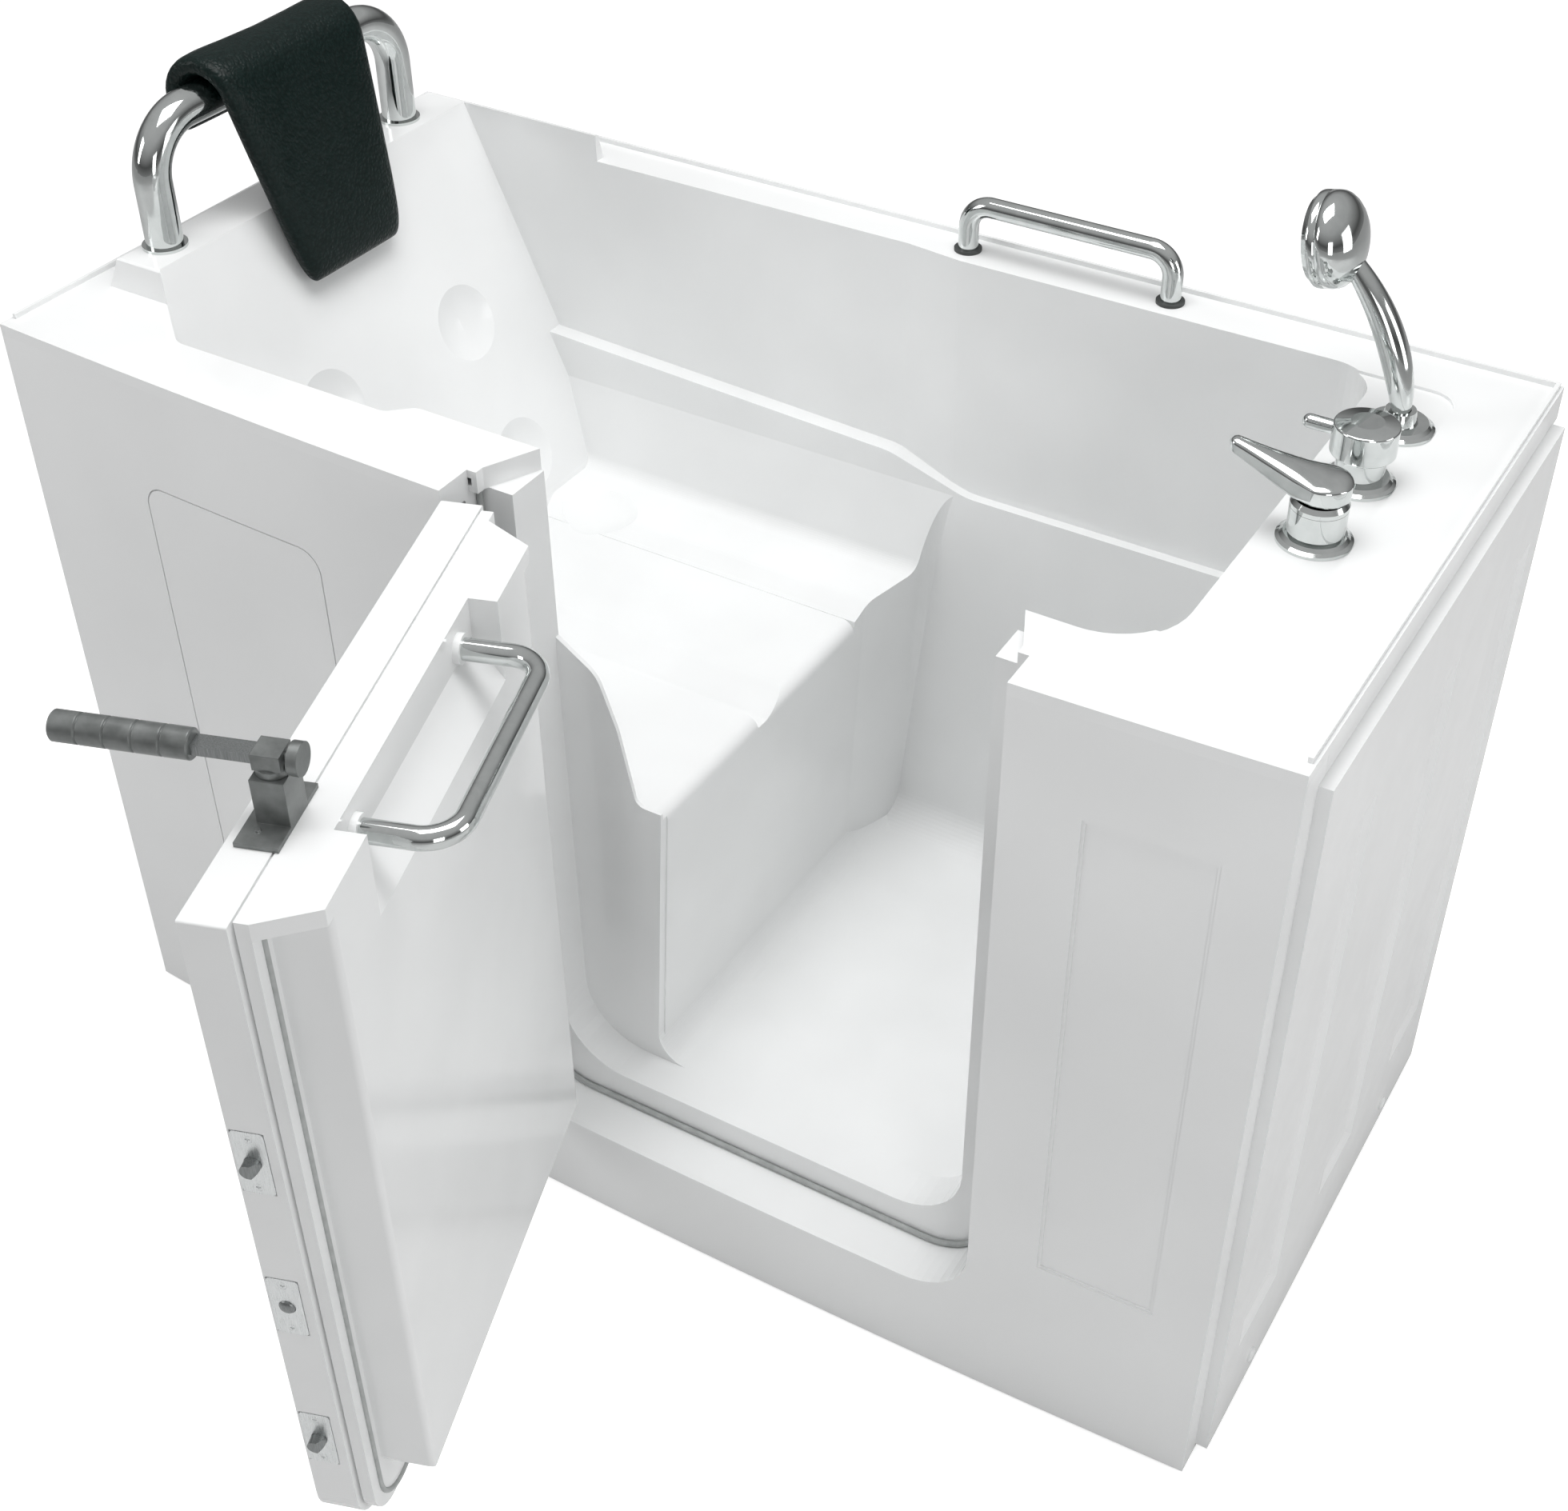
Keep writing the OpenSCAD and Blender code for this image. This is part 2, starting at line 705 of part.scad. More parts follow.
module waste_pipe() color("gainsboro") place() {
    z1 = floor_z - drain_neck;
    difference() {
        union() {
            translate([drain_x, drain_y, pipe_z - pipe_r - wall])
                cylinder(r = drain_neck_r + wall / 2, h = z1 - pipe_z + pipe_r + wall, $fn = smooth);
            translate([drain_x, drain_y, pipe_z]) rotate([-90, 0, 0]) {
                cylinder(r = pipe_r, h = outlet_y - spigot_len - drain_y, $fn = smooth);
                cylinder(r = spigot_r, h = outlet_y - drain_y, $fn = smooth);
            }
        }
        translate([drain_x, drain_y, pipe_z - pipe_bore_r])
            cylinder(r = pipe_bore_r, h = z1, $fn = smooth);
        translate([drain_x, drain_y, pipe_z]) rotate([-90, 0, 0])
            cylinder(r = pipe_bore_r, h = outlet_y, $fn = smooth);
        translate([drain_x, drain_y, pipe_z]) rotate([0, 90, 0])
            cylinder(r = branch_bore_r, h = 2 * drain_neck_r, $fn = smooth);
    }
}

module overflow_pipe() color("gainsboro") place() {
    x0 = overflow_x + wall;
    xp = x0 + overflow_run;
    x_tee = drain_x + drain_neck_r + wall / 2;
    difference() {
        union() {
            translate([x0, drain_y, overflow_z]) rotate([0, 90, 0]) cylinder(r = plate_r - wall, h = overflow_run, $fn = smooth);
            translate([xp, drain_y, pipe_z - pipe_r]) cylinder(r = pipe_r, h = overflow_z - pipe_z + 2 * pipe_r, $fn = smooth);
            translate([x_tee, drain_y, pipe_z]) rotate([0, 90, 0]) cylinder(r = branch_r, h = xp - x_tee, $fn = smooth);
        }
        translate([xp, drain_y, pipe_z - branch_r])
            cylinder(r = pipe_bore_r, h = overflow_z - pipe_z + 2 * branch_r, $fn = smooth);
        translate([x_tee - over, drain_y, pipe_z]) rotate([0, 90, 0])
            cylinder(r = branch_bore_r, h = xp - x_tee, $fn = smooth);
        translate([x0 - over, drain_y, overflow_z]) rotate([0, 90, 0])
            cylinder(r = branch_bore_r, h = overflow_run + over, $fn = smooth);
    }
}

module overflow_plate() color("silver") place() translate([overflow_x, drain_y, overflow_z]) rotate([0, -90, 0]) {
    difference() {
        rotate_extrude($fn = smooth)
            polygon([[0, 0], [plate_r, 0], [plate_r, plate_t / 2], [plate_r - plate_t / 2, plate_t], [0, plate_t]]);
        translate([0, 0, -over]) cylinder(r = knob_shaft_r + run_fit, h = plate_t * 2, $fn = smooth);
    }
}

module overflow_knob() color("silver") place() translate([overflow_x, drain_y, overflow_z]) rotate([0, -90, 0]) {
    translate([0, 0, -plate_t - wall]) cylinder(r = knob_shaft_r, h = 2 * plate_t + wall + fit + over, $fn = smooth);
    translate([0, 0, plate_t + fit])
        difference() {
            rotate_extrude($fn = smooth)
                polygon([[0, 0], [knob_r, 0], [knob_r, knob_t - knob_bevel], [knob_r - knob_bevel, knob_t], [0, knob_t]]);
            for (a = [0 : 30 : 359])
                rotate([0, 0, a]) translate([knob_r + fit, 0, -over]) cylinder(r = knob_r / 8, h = 2 * knob_t, $fn = smooth / 3);
        }
}

// Tubes bent into a U standing on its two feet, and smooth bodies lofted through rings
module u_bar(span, rise, bend, r) {
    for (s = [0, 1])
        mirror([s, 0, 0]) {
            translate([span / 2, 0, 0]) cylinder(r = r, h = rise - bend, $fn = smooth);
            translate([span / 2 - bend, 0, rise - bend])
                rotate([90, 0, 0])
                rotate_extrude(angle = 90, $fn = smooth)
                translate([bend, 0]) circle(r = r, $fn = smooth);
        }
    translate([bend - span / 2, 0, rise]) rotate([0, 90, 0]) cylinder(r = r, h = span - 2 * bend, $fn = smooth);
}
module ring(outer, inner, h) difference() {
    cylinder(r = outer, h = h, $fn = smooth);
    translate([0, 0, -over]) cylinder(r = inner, h = h + 2 * over, $fn = smooth);
}
module loft(rings) {
    n = len(rings[0]);
    last = (len(rings) - 1) * n;
    polyhedron(
        points = [for (r = rings) each r],
        faces = concat(
            [[for (j = [0 : n - 1]) j]],
            [[for (j = [0 : n - 1]) last + n - 1 - j]],
            [for (i = [0 : len(rings) - 2]) for (j = [0 : n - 1])
                [i * n + j, (i + 1) * n + j, (i + 1) * n + (j + 1) % n]],
            [for (i = [0 : len(rings) - 2]) for (j = [0 : n - 1])
                [i * n + j, (i + 1) * n + (j + 1) % n, i * n + (j + 1) % n]]
        )
    );
}

// Headrest bar on its block, with the leather pillow hung over it
head_bar_x = 66;
head_bar_y = 351;
head_bar_rise = 124;
head_bar_bend = 58;
foot_ring_w = 4;
foot_ring_h = 3;

module headrest_bar() color("silver") place() translate([head_bar_x, head_bar_y, block_top]) rotate([0, 0, 90]) {
    u_bar(head_bar_span, head_bar_rise, head_bar_bend, head_bar_d / 2);
    for (s = [-1, 1])
        translate([s * head_bar_span / 2, 0, 0]) ring(head_bar_d / 2 + foot_ring_w, head_bar_d / 2 - fit, foot_ring_h);
}

pillow_top_w = 234;
pillow_foot_w = 142;
pillow_t = 27;
pillow_gap = 1;
pillow_foot_z = 846;
pillow_wrap = 190;
pillow_rings = 26;
pillow_sides = 28;
pillow_tail = 34;
pillow_square_share = 0.45;
pillow_end_share = 0.12;

// Middle line of the pillow from behind the bar to its foot on the backrest
pillow_bar_r = head_bar_d / 2 + pillow_gap + pillow_t / 2;
pillow_axis_z = block_top + head_bar_rise;
pillow_foot = [rest_x(pillow_foot_z) + (pillow_t / 2 + fit) / cos(rest_lean) + fit, pillow_foot_z];
pillow_drop = [pillow_foot[0] - head_bar_x, pillow_foot[1] - pillow_axis_z];
pillow_far = norm(pillow_drop);
pillow_leave = atan2(pillow_drop[1], pillow_drop[0]) + acos(pillow_bar_r / pillow_far);
pillow_line = sqrt(pillow_far * pillow_far - pillow_bar_r * pillow_bar_r);
pillow_arc = pillow_bar_r * (pillow_wrap - pillow_leave) * PI / 180;
pillow_len = pillow_tail + pillow_arc + pillow_line;
function pillow_at(s) =
    s < pillow_tail
        ? let (a = pillow_wrap, d = pillow_tail - s)
            [head_bar_x + pillow_bar_r * cos(a) - d * sin(a), pillow_axis_z + pillow_bar_r * sin(a) + d * cos(a), a]
        : s < pillow_tail + pillow_arc
            ? let (a = pillow_wrap - (s - pillow_tail) / pillow_bar_r * 180 / PI)
                [head_bar_x + pillow_bar_r * cos(a), pillow_axis_z + pillow_bar_r * sin(a), a]
            : let (a = pillow_leave, d = s - pillow_tail - pillow_arc)
                [head_bar_x + pillow_bar_r * cos(a) + d * sin(a), pillow_axis_z + pillow_bar_r * sin(a) - d * cos(a), a];
function swell(t) = pow(max(0, 1 - pow(abs(2 * t - 1), 8)), 1 / 3);
function puff(c, share) = sign(c) * pow(abs(c), share);
function pillow_ring(t) =
    let (p = pillow_at(t * pillow_len), half = pillow_t / 2 * max(pillow_end_share, swell(t)))
    let (w = (pillow_top_w + (pillow_foot_w - pillow_top_w) * pow(t, 1.2)) / 2 * (1 - pillow_end_share / 2 * (1 - swell(t))))
    [for (j = [0 : pillow_sides - 1])
        let (a = 360 * j / pillow_sides, n = half * puff(sin(a), pillow_square_share * 2), y = w * puff(cos(a), pillow_square_share))
            [p[0] + n * cos(p[2]), head_bar_y + y, p[1] + n * sin(p[2])]];

module headrest_pillow() color("darkslategray") place()
    loft([for (i = [0 : pillow_rings]) pillow_ring((1 - cos(180 * i / pillow_rings)) / 2)]);

// Grab bar on the rear deck
deck_bar_x = 850;
deck_bar_inset = 34;
deck_bar_rise = 52;
deck_bar_bend = 25;

module at_deck_bar() translate([deck_bar_x, tub_w - deck_bar_inset, deck_h]) children();
module back_grab_bar() color("silver") place() at_deck_bar()
    u_bar(deck_bar_span, deck_bar_rise, deck_bar_bend, deck_bar_d / 2);
module grab_bar_collars() color("gray") place() at_deck_bar()
    for (s = [-1, 1])
        translate([s * deck_bar_span / 2, 0, 0]) ring(deck_bar_d / 2 + foot_ring_w, deck_bar_d / 2, foot_ring_h);

// Taps on the shelf
tap_inset = 110;
tap_shift = 28.5;
tap_first = tub_w / 2 - tap_shift;
rose_r = tap_rose_d / 2;
rose_h = 8;
rose_lip = 3;
shank_r = 12;
shank_len = 20;
inlet_r = 10.48;
inlet_len = 24;
nut_r = 22;
nut_h = 8;
tap_deck = deck_h - shelf_depth;
module at_tap(k) translate([tub_len - tap_inset, tap_first + k * tap_pitch, tap_deck]) children();
module rose(bore) rotate_extrude($fn = smooth)
    polygon([[bore, 0], [rose_r, 0], [rose_r, rose_lip], [rose_r - rose_lip, rose_h - rose_lip],
        [rose_r - 2 * rose_lip, rose_h], [bore, rose_h]]);
module shank() {
    translate([0, 0, -shank_len]) cylinder(r = shank_r, h = shank_len + rose_h, $fn = smooth);
    translate([0, 0, -shank_len - inlet_len]) cylinder(r = inlet_r, h = inlet_len + over, $fn = smooth);
}

mixer_r = 25;
mixer_body_h = 34;
mixer_neck_r = 22;
mixer_hub_h = 8;
mixer_turn_gap = 0.3;
mixer_lever_len = 84;
mixer_tip_r = 7;
mixer_head_h = 22;
mixer_shoulder = 16;
mixer_tip_rise = 23;
mixer_tip_h = 12;
mixer_rise_share = 0.22;
mixer_tilt = 20;
mixer_stem_x = 17;
mixer_stem_z = 5;
mixer_stem_r = 3;
mixer_stem_w = 8;
mixer_pin_r = 1.2;
mixer_pin_len = 18;
mixer_turns = [84, 76, 66, 54, 40, 22];
mixer_rings = 16;
mixer_sides = 32;

module mixer_escutcheon() color("silver") place() at_tap(0) rose(shank_r + fit);
module mixer_body() color("silver") place() at_tap(0) {
    shank();
    rotate_extrude($fn = smooth)
        polygon(concat([[0, 0], [shank_r, 0], [shank_r, rose_h]],
            [[mixer_neck_r, rose_h], [mixer_r, rose_h + rose_lip], [mixer_r, mixer_body_h], [0, mixer_body_h]]));
}
mixer_lever_z = mixer_body_h + mixer_hub_h + 2 * mixer_turn_gap;

// Stem on the hub and the pin through it that the lever tilts on
module mixer_stem(gap) translate([mixer_stem_x, 0, mixer_lever_z + mixer_stem_z]) rotate([90, 0, 0]) {
    cylinder(r = mixer_stem_r + gap, h = mixer_stem_w + 2 * gap, center = true, $fn = smooth);
    translate([0, -(mixer_stem_z + over) / 2, 0])
        cube([2 * (mixer_stem_r + gap), mixer_stem_z + over, mixer_stem_w + 2 * gap], center = true);
}
module mixer_pin(r, len) translate([mixer_stem_x, 0, mixer_lever_z + mixer_stem_z]) rotate([90, 0, 0])
    cylinder(r = r, h = len, center = true, $fn = smooth);
module mixer_hub() color("silver") place() at_tap(0) difference() {
    union() {
        translate([0, 0, mixer_body_h + mixer_turn_gap])
            rotate_extrude($fn = smooth)
            polygon([[0, 0], [mixer_r, 0], [mixer_r, mixer_hub_h / 2], [mixer_r - rose_lip, mixer_hub_h], [0, mixer_hub_h]]);
        mixer_stem(0);
    }
    mixer_pin(mixer_pin_r + run_fit, mixer_pin_len);
}

// The lever stands straight on the hub, domed above, and tapers to a flat raised tip
function lever_section(x, w, foot, shoulder, crown) = [
    for (j = [0 : mixer_sides - 1])
        let (a = -360 * j / mixer_sides, v = sin(a))
            [x, w * puff(cos(a), v < 0 ? 0.45 : 0.85),
                shoulder + (v < 0 ? (shoulder - foot) * puff(v, 0.3) : (crown - shoulder) * puff(v, 0.85))]
];
function lever_turn_ring(a) =
    let (x = mixer_r * sin(a), foot = max(0, x - mixer_stem_x) * tan(mixer_tilt))
    lever_section(x, mixer_r * cos(a), foot, mixer_shoulder, mixer_head_h - (mixer_head_h - mixer_shoulder) * pow(sin(a), 4));
function lever_ring(t) =
    let (round = sqrt(max(0.06, 1 - pow(max(0, 10 * t - 9), 2))))
    let (w = (mixer_tip_r + (mixer_r - mixer_tip_r) * pow(1 - t, 1.4)) * round)
    let (foot = mixer_tip_rise * pow(max(0, t - mixer_rise_share) / (1 - mixer_rise_share), 1.1))
    let (crown = mixer_head_h + (mixer_tip_rise + mixer_tip_h - mixer_head_h) * pow(t, 1.2))
    let (shoulder = foot + (crown - foot) * (mixer_shoulder / mixer_head_h * (1 - t) + t / 2))
    lever_section(-t * mixer_lever_len, w, shoulder - (shoulder - foot) * round, shoulder,
        shoulder + (crown - shoulder) * round);
module mixer_lever() color("silver") place() at_tap(0) {
    difference() {
        translate([0, 0, mixer_lever_z])
            loft(concat([for (a = mixer_turns) lever_turn_ring(a)], [for (i = [0 : mixer_rings]) lever_ring(i / mixer_rings)]));
        mixer_stem(fit);
        translate([mixer_stem_x - mixer_stem_r - 2 * fit, -mixer_stem_w / 2 - fit, mixer_lever_z - over])
            cube([2 * mixer_stem_r + mixer_stem_z, mixer_stem_w + 2 * fit, mixer_stem_z + over]);
    }
    mixer_pin(mixer_pin_r, mixer_pin_len);
}

diverter_neck_r = 22;
diverter_neck_h = 30;
diverter_r = 29;
diverter_h = 28;
diverter_dome = 3;
diverter_pin_r = 6.5;
diverter_pin_len = 28;
diverter_pin_drop = 12;

module diverter_escutcheon() color("silver") place() at_tap(1) rose(shank_r + fit);
module diverter_body() color("silver") place() at_tap(1) {
    shank();
    translate([0, 0, rose_h]) cylinder(r = diverter_neck_r, h = diverter_neck_h - rose_h, $fn = smooth);
}
module diverter_knob() color("silver") place() at_tap(1) translate([0, 0, diverter_neck_h + mixer_turn_gap]) {
    rotate_extrude($fn = smooth)
        polygon(concat([[0, 0]], outline([[diverter_r / 2, 0, 0], [diverter_r, 0, 2], [diverter_r, diverter_h, 2],
            [diverter_r / 2, diverter_h + diverter_dome, 0]]), [[0, diverter_h + diverter_dome]]));
    translate([0, 0, diverter_h - diverter_pin_drop])
        rotate([0, -90, 0]) {
            cylinder(r = diverter_pin_r, h = diverter_r + diverter_pin_len - diverter_pin_r, $fn = smooth);
            translate([0, 0, diverter_r + diverter_pin_len - diverter_pin_r]) sphere(diverter_pin_r, $fn = smooth);
        }
}

// Hand shower: a cone holder, a bowed handle and a round head that faces the bather
holder_r = 17;
holder_h = 12;
handle_bore_r = 9;
handle_depth = 9;
handle_bow_r = 235;
handle_sweep = 36;
handle_lean = 10;
handle_clear = 1.6;
head_share = 0.89;
handle_rings = 22;
handle_sides = 24;
handle_foot_r = 9;
handle_mid_r = 13.5;
handle_neck_r = 9;
head_r = 43;
head_t = 30;
head_tilt = 12;
face_t = 5;
face_r = 40;
nozzle_r = 1.6;
nozzle_rows = [[10, 6], [20, 12], [31, 18]];

module handset_escutcheon() color("silver") place() at_tap(2) rose(shank_r + fit);
module handset_holder() color("silver") place() at_tap(2) {
    difference() {
        union() {
            shank();
            translate([0, 0, rose_h])
                rotate_extrude($fn = smooth)
                polygon([[0, 0], [holder_r, 0], [holder_r - rose_lip, holder_h], [0, holder_h]]);
        }
        translate([0, 0, rose_h + holder_h - handle_depth])
            cylinder(r = handle_foot_r + fit, h = handle_depth + over, $fn = smooth);
    }
}

// Handle's middle line: an arc that starts upright in the holder and bows towards the bather
handle_z = rose_h + holder_h + handle_clear;
function handle_at(t) =
    let (a = handle_lean + handle_sweep * t)
    [handle_bow_r * (cos(a) - cos(handle_lean)), handle_z + handle_bow_r * (sin(a) - sin(handle_lean)), a];
function handle_r(t) = handle_foot_r + (handle_mid_r - handle_foot_r) * sin(180 * pow(t, 0.8));
function handle_ring(t) =
    let (p = handle_at(t), r = handle_r(t))
    [for (j = [0 : handle_sides - 1])
        let (b = 360 * j / handle_sides)
            [p[0] + r * cos(b) * cos(p[2]), r * 1.1 * sin(b), p[1] + r * cos(b) * sin(p[2])]];
head_mid = handle_at(head_share);

module at_head() translate([head_mid[0], 0, head_mid[1]]) rotate([0, -90 - head_tilt, 0]) children();
head_up = 32;
head_forward = 9;
module handset_body() color("silver") place() at_tap(2) {
    translate([0, 0, handle_z - handle_depth + fit]) cylinder(r = handle_foot_r - fit, h = handle_depth + over, $fn = smooth);
    loft([for (i = [0 : handle_rings]) handle_ring(i / handle_rings)]);
    at_head() translate([head_up, 0, head_forward])
        rotate_extrude($fn = smooth)
        polygon(outline([[0, -head_t / 2, 0], [head_r / 2, -head_t / 2 + face_t / 2, 20], [head_r, 0, 8],
            [head_r, head_t - face_t, 2], [0, head_t - face_t, 0]]));
}
module handset_face() color("gainsboro") place() at_tap(2) at_head()
    translate([head_up, 0, head_forward + head_t - face_t]) {
        cylinder(r1 = face_r, r2 = face_r - face_t / 2, h = face_t, $fn = smooth);
        for (row = nozzle_rows)
            for (k = [0 : row[1] - 1])
                rotate([0, 0, 360 * k / row[1]])
                    translate([row[0], 0, face_t - over]) cylinder(r = nozzle_r, h = 2 * over, $fn = smooth / 4);
    }
module tap_nuts() color("goldenrod") place()
    for (k = [0 : 2])
        at_tap(k) translate([0, 0, shelf_depth - deck_t - nut_h])
            difference() {
                cylinder(r = nut_r, h = nut_h, $fn = 6);
                translate([0, 0, -over]) cylinder(r = shank_r + run_fit, h = nut_h + 2 * over, $fn = smooth);
            }

// Door: flat outer slab, inner shell with a plug that fills the doorway, seal and bar
slab_l = leaf_gap / 2 + leaf_t;
slab_front = 3.7;
slab_back = slab_front + slab_t;
slab_r = 50;
door_top = deck_h - top_drop;
lip_gap = 2;
strip_l = 11;
strip_r = 534;
strip_foot = 150;
strip_corner = 46;
strip_t = 11;
strip_front = slab_back + lip_gap;
strip_back = strip_front + strip_t;
plug_l = 60;
plug_r = 508;
plug_draft = 6;
plug_foot = 200;
plug_corner = 25;
plug_bevel = 6;
cap_taper_l = 44;
cap_taper_r = 25;
cap_shoulder = 14;
lip_inset = 3;
recess_l = 138;
recess_wall = 25;
recess_deep_z = 40;
recess_face_z = 81;
seal_r = 2.4;
seal_left = 28;
seal_right = 519;
seal_low = strip_foot + seal_r + fit;
seal_sink = seal_r - (rebate_depth - strip_back - fit);

module door_outer_shell() color("white") place() at_door() {
    difference() {
        union() {
            on_front(outline([
                [slab_l, slab_foot, slab_r], [slab_l + slab_w, slab_foot, slab_r],
                [slab_l + slab_w, door_top, 2], [slab_l, door_top, 2]
            ]), slab_front, slab_back);
            on_front(outline([
                [strip_l, strip_foot, strip_corner], [strip_r, strip_foot, strip_corner],
                [strip_r, door_top, 0], [strip_l, door_top, 0]
            ], -lip_inset), slab_back - over, strip_front);
        }
        for (z = latch_z) {
            box([slab_l + slab_w - plate_sink, latch_y - plate_w / 2 - fit, z - plate_h / 2 - fit],
                [slab_l + slab_w + over, latch_y + plate_w / 2 + fit, z + plate_h / 2 + fit]);
            translate([slab_l + slab_w, latch_y, z]) rotate([0, -90, 0])
                cylinder(r = bolt_r + run_fit, h = bolt_len + bolt_travel + over, $fn = smooth);
            for (s = [-1, 1])
                translate([slab_l + slab_w, latch_y, z + s * plate_screw]) rotate([0, -90, 0])
                    cylinder(r = screw_r + run_fit, h = screw_len, $fn = smooth);
        }
        translate([lever_x, lever_y, rod_foot - over]) cylinder(r = rod_r + run_fit, h = deck_h, $fn = smooth);
    }
}

module door_inner_shell() color("white") place() at_door() {
    plug_top = door_top - cap_h;
    difference() {
        union() {
            on_front(outline([
                [strip_l, strip_foot, strip_corner], [strip_r, strip_foot, strip_corner],
                [strip_r, door_top, 0], [strip_l, door_top, 0]
            ]), strip_front, strip_back);
            intersection() {
                on_front(outline([
                    [plug_l, plug_foot, plug_corner], [plug_r, plug_foot, plug_corner],
                    [plug_r, plug_top + over, 0], [plug_l, plug_top + over, 0]
                ]), strip_back - over, door_deep);
                on_plan(outline([
                    [plug_l - over, strip_front, 0], [plug_r + over, strip_front, 0],
                    [plug_r, strip_back, 0], [plug_r - plug_draft, door_deep, 6],
                    [plug_l + plug_draft, door_deep, 6], [plug_l, strip_back, 0]
                ]), 0, deck_h);
                on_side([
                    [strip_front, plug_foot + plug_bevel], [(strip_back + door_deep) / 2, plug_foot - over],
                    [door_deep, plug_foot + plug_bevel], [door_deep, door_top], [strip_front, door_top]
                ], 0, slab_w);
            }
            on_plan(outline([
                [strip_l, strip_front + over, 0], [strip_r, strip_front + over, 0], [strip_r, strip_back, 0],
                [strip_r - cap_taper_r, door_deep, 0], [strip_l + cap_taper_l, door_deep, 0],
                [strip_l + cap_shoulder, strip_back, 0]
            ]), plug_top, door_top);
        }
        on_side([
            [door_deep - recess_wall, door_top - recess_deep_z], [door_deep + over, door_top - recess_face_z],
            [door_deep + over, door_top + over], [door_deep - recess_wall, door_top + over]
        ], recess_l, recess_l + recess_w);
        seal_path(seal_r + run_fit);
    }
}

// Bead that presses on the rebate's back face all round the inner opening
module seal_path(r) {
    top = door_top - cap_h;
    translate([(seal_left + seal_right) / 2, strip_back - seal_sink, top])
        mirror([0, 0, 1]) u_bar(seal_right - seal_left, top - seal_low, strip_corner, r);
}
module door_seal() color("gray") place() at_door() seal_path(seal_r);

door_bar_first = 172;
door_bar_drop = 26;
door_bar_reach = 76;
door_bar_bend = 30;
door_collar_w = 3.5;
door_collar_h = 6;
module at_door_bar() translate([door_bar_first + door_bar_span / 2, door_deep - recess_wall, door_top - door_bar_drop])
    rotate([-90, 0, 0]) children();
module door_grab_bar() color("silver") place() at_door() at_door_bar()
    u_bar(door_bar_span, door_bar_reach, door_bar_bend, door_bar_d / 2);
module door_bar_collars() color("white") place() at_door() at_door_bar()
    for (s = [-1, 1])
        translate([s * door_bar_span / 2, 0, 0]) ring(door_bar_d / 2 + door_collar_w, door_bar_d / 2, door_collar_h);

// Latches in the door's free edge and the plates that take their bolts
latch_z = [285, 465, 638];
latch_y = 19;
plate_w = 27;
plate_h = 69;
plate_t_latch = 2;
plate_sink = 1.5;
plate_screw = 27;
screw_r = 2.2;
screw_len = 16;
screw_head_r = 4;
bolt_r = 7;
bolt_len = 34;
bolt_nose = 10;
bolt_travel = 11;
bolt_slant = 34;
dead_nose = 3;
dead_travel = 12;
slot_w = 20;
slot_h = 73;
strike_t = 3;
strike_sink = 0.8;
strike_bore_w = 16;
strike_bore_h = 26;
slab_edge = slab_l + slab_w;

module latch_faceplates() color("gainsboro") place() at_door()
    for (z = latch_z)
        difference() {
            translate([slab_edge - plate_sink, latch_y, z]) rotate([0, 90, 0])
                on_plan(outline(rect(-plate_h / 2, -plate_w / 2, plate_h / 2, plate_w / 2, 4)), 0, plate_t_latch);
            translate([slab_edge - bolt_travel, latch_y, z]) rotate([0, 90, 0])
                cylinder(r = bolt_r + 4 * run_fit, h = 2 * bolt_travel, $fn = smooth);
            for (s = [-1, 1])
                translate([slab_edge - plate_sink - over, latch_y, z + s * plate_screw]) rotate([0, 90, 0]) {
                    cylinder(r = screw_r + run_fit, h = 2 * bolt_travel, $fn = smooth);
                    translate([0, 0, over]) cylinder(r1 = screw_r, r2 = screw_head_r + run_fit, h = plate_t_latch, $fn = smooth);
                }
        }
module latch_screws() color("silver") place() at_door()
    for (z = latch_z)
        for (s = [-1, 1])
            translate([slab_edge - plate_sink, latch_y, z + s * plate_screw]) rotate([0, 90, 0])
                difference() {
                    union() {
                        translate([0, 0, fit - screw_len + plate_sink]) cylinder(r = screw_r, h = screw_len, $fn = smooth);
                        cylinder(r1 = screw_r - run_fit, r2 = screw_head_r, h = plate_t_latch, $fn = smooth);
                    }
                    translate([0, 0, plate_t_latch])
                        for (a = [0, 90])
                            rotate([0, 0, a]) cube([screw_head_r, over, over], center = true);
                }

module spring_bolt(z) translate([slab_edge, latch_y, z]) rotate([0, 90, 0])
    difference() {
        translate([0, 0, -bolt_len]) cylinder(r = bolt_r, h = bolt_len + bolt_nose, $fn = smooth);
        translate([0, bolt_r / 4, bolt_nose])
            rotate([-90 + bolt_slant, 0, 0])
            translate([-2 * bolt_r, 0, 0]) cube([4 * bolt_r, 2 * bolt_r, 4 * bolt_r]);
    }
module upper_spring_bolt() color("silver") place() at_door() spring_bolt(latch_z[2]);
module lower_spring_bolt() color("silver") place() at_door() spring_bolt(latch_z[0]);
module middle_dead_bolt() color("silver") place() at_door()
    translate([slab_edge - bolt_len, latch_y, latch_z[1]]) rotate([0, 90, 0])
        rotate_extrude($fn = smooth)
        polygon(concat([[0, 0], [bolt_r, 0]],
            [for (a = [0 : 15 : 90]) [bolt_r * cos(a), bolt_len + plate_t_latch - plate_sink + dead_nose * sin(a)]]));

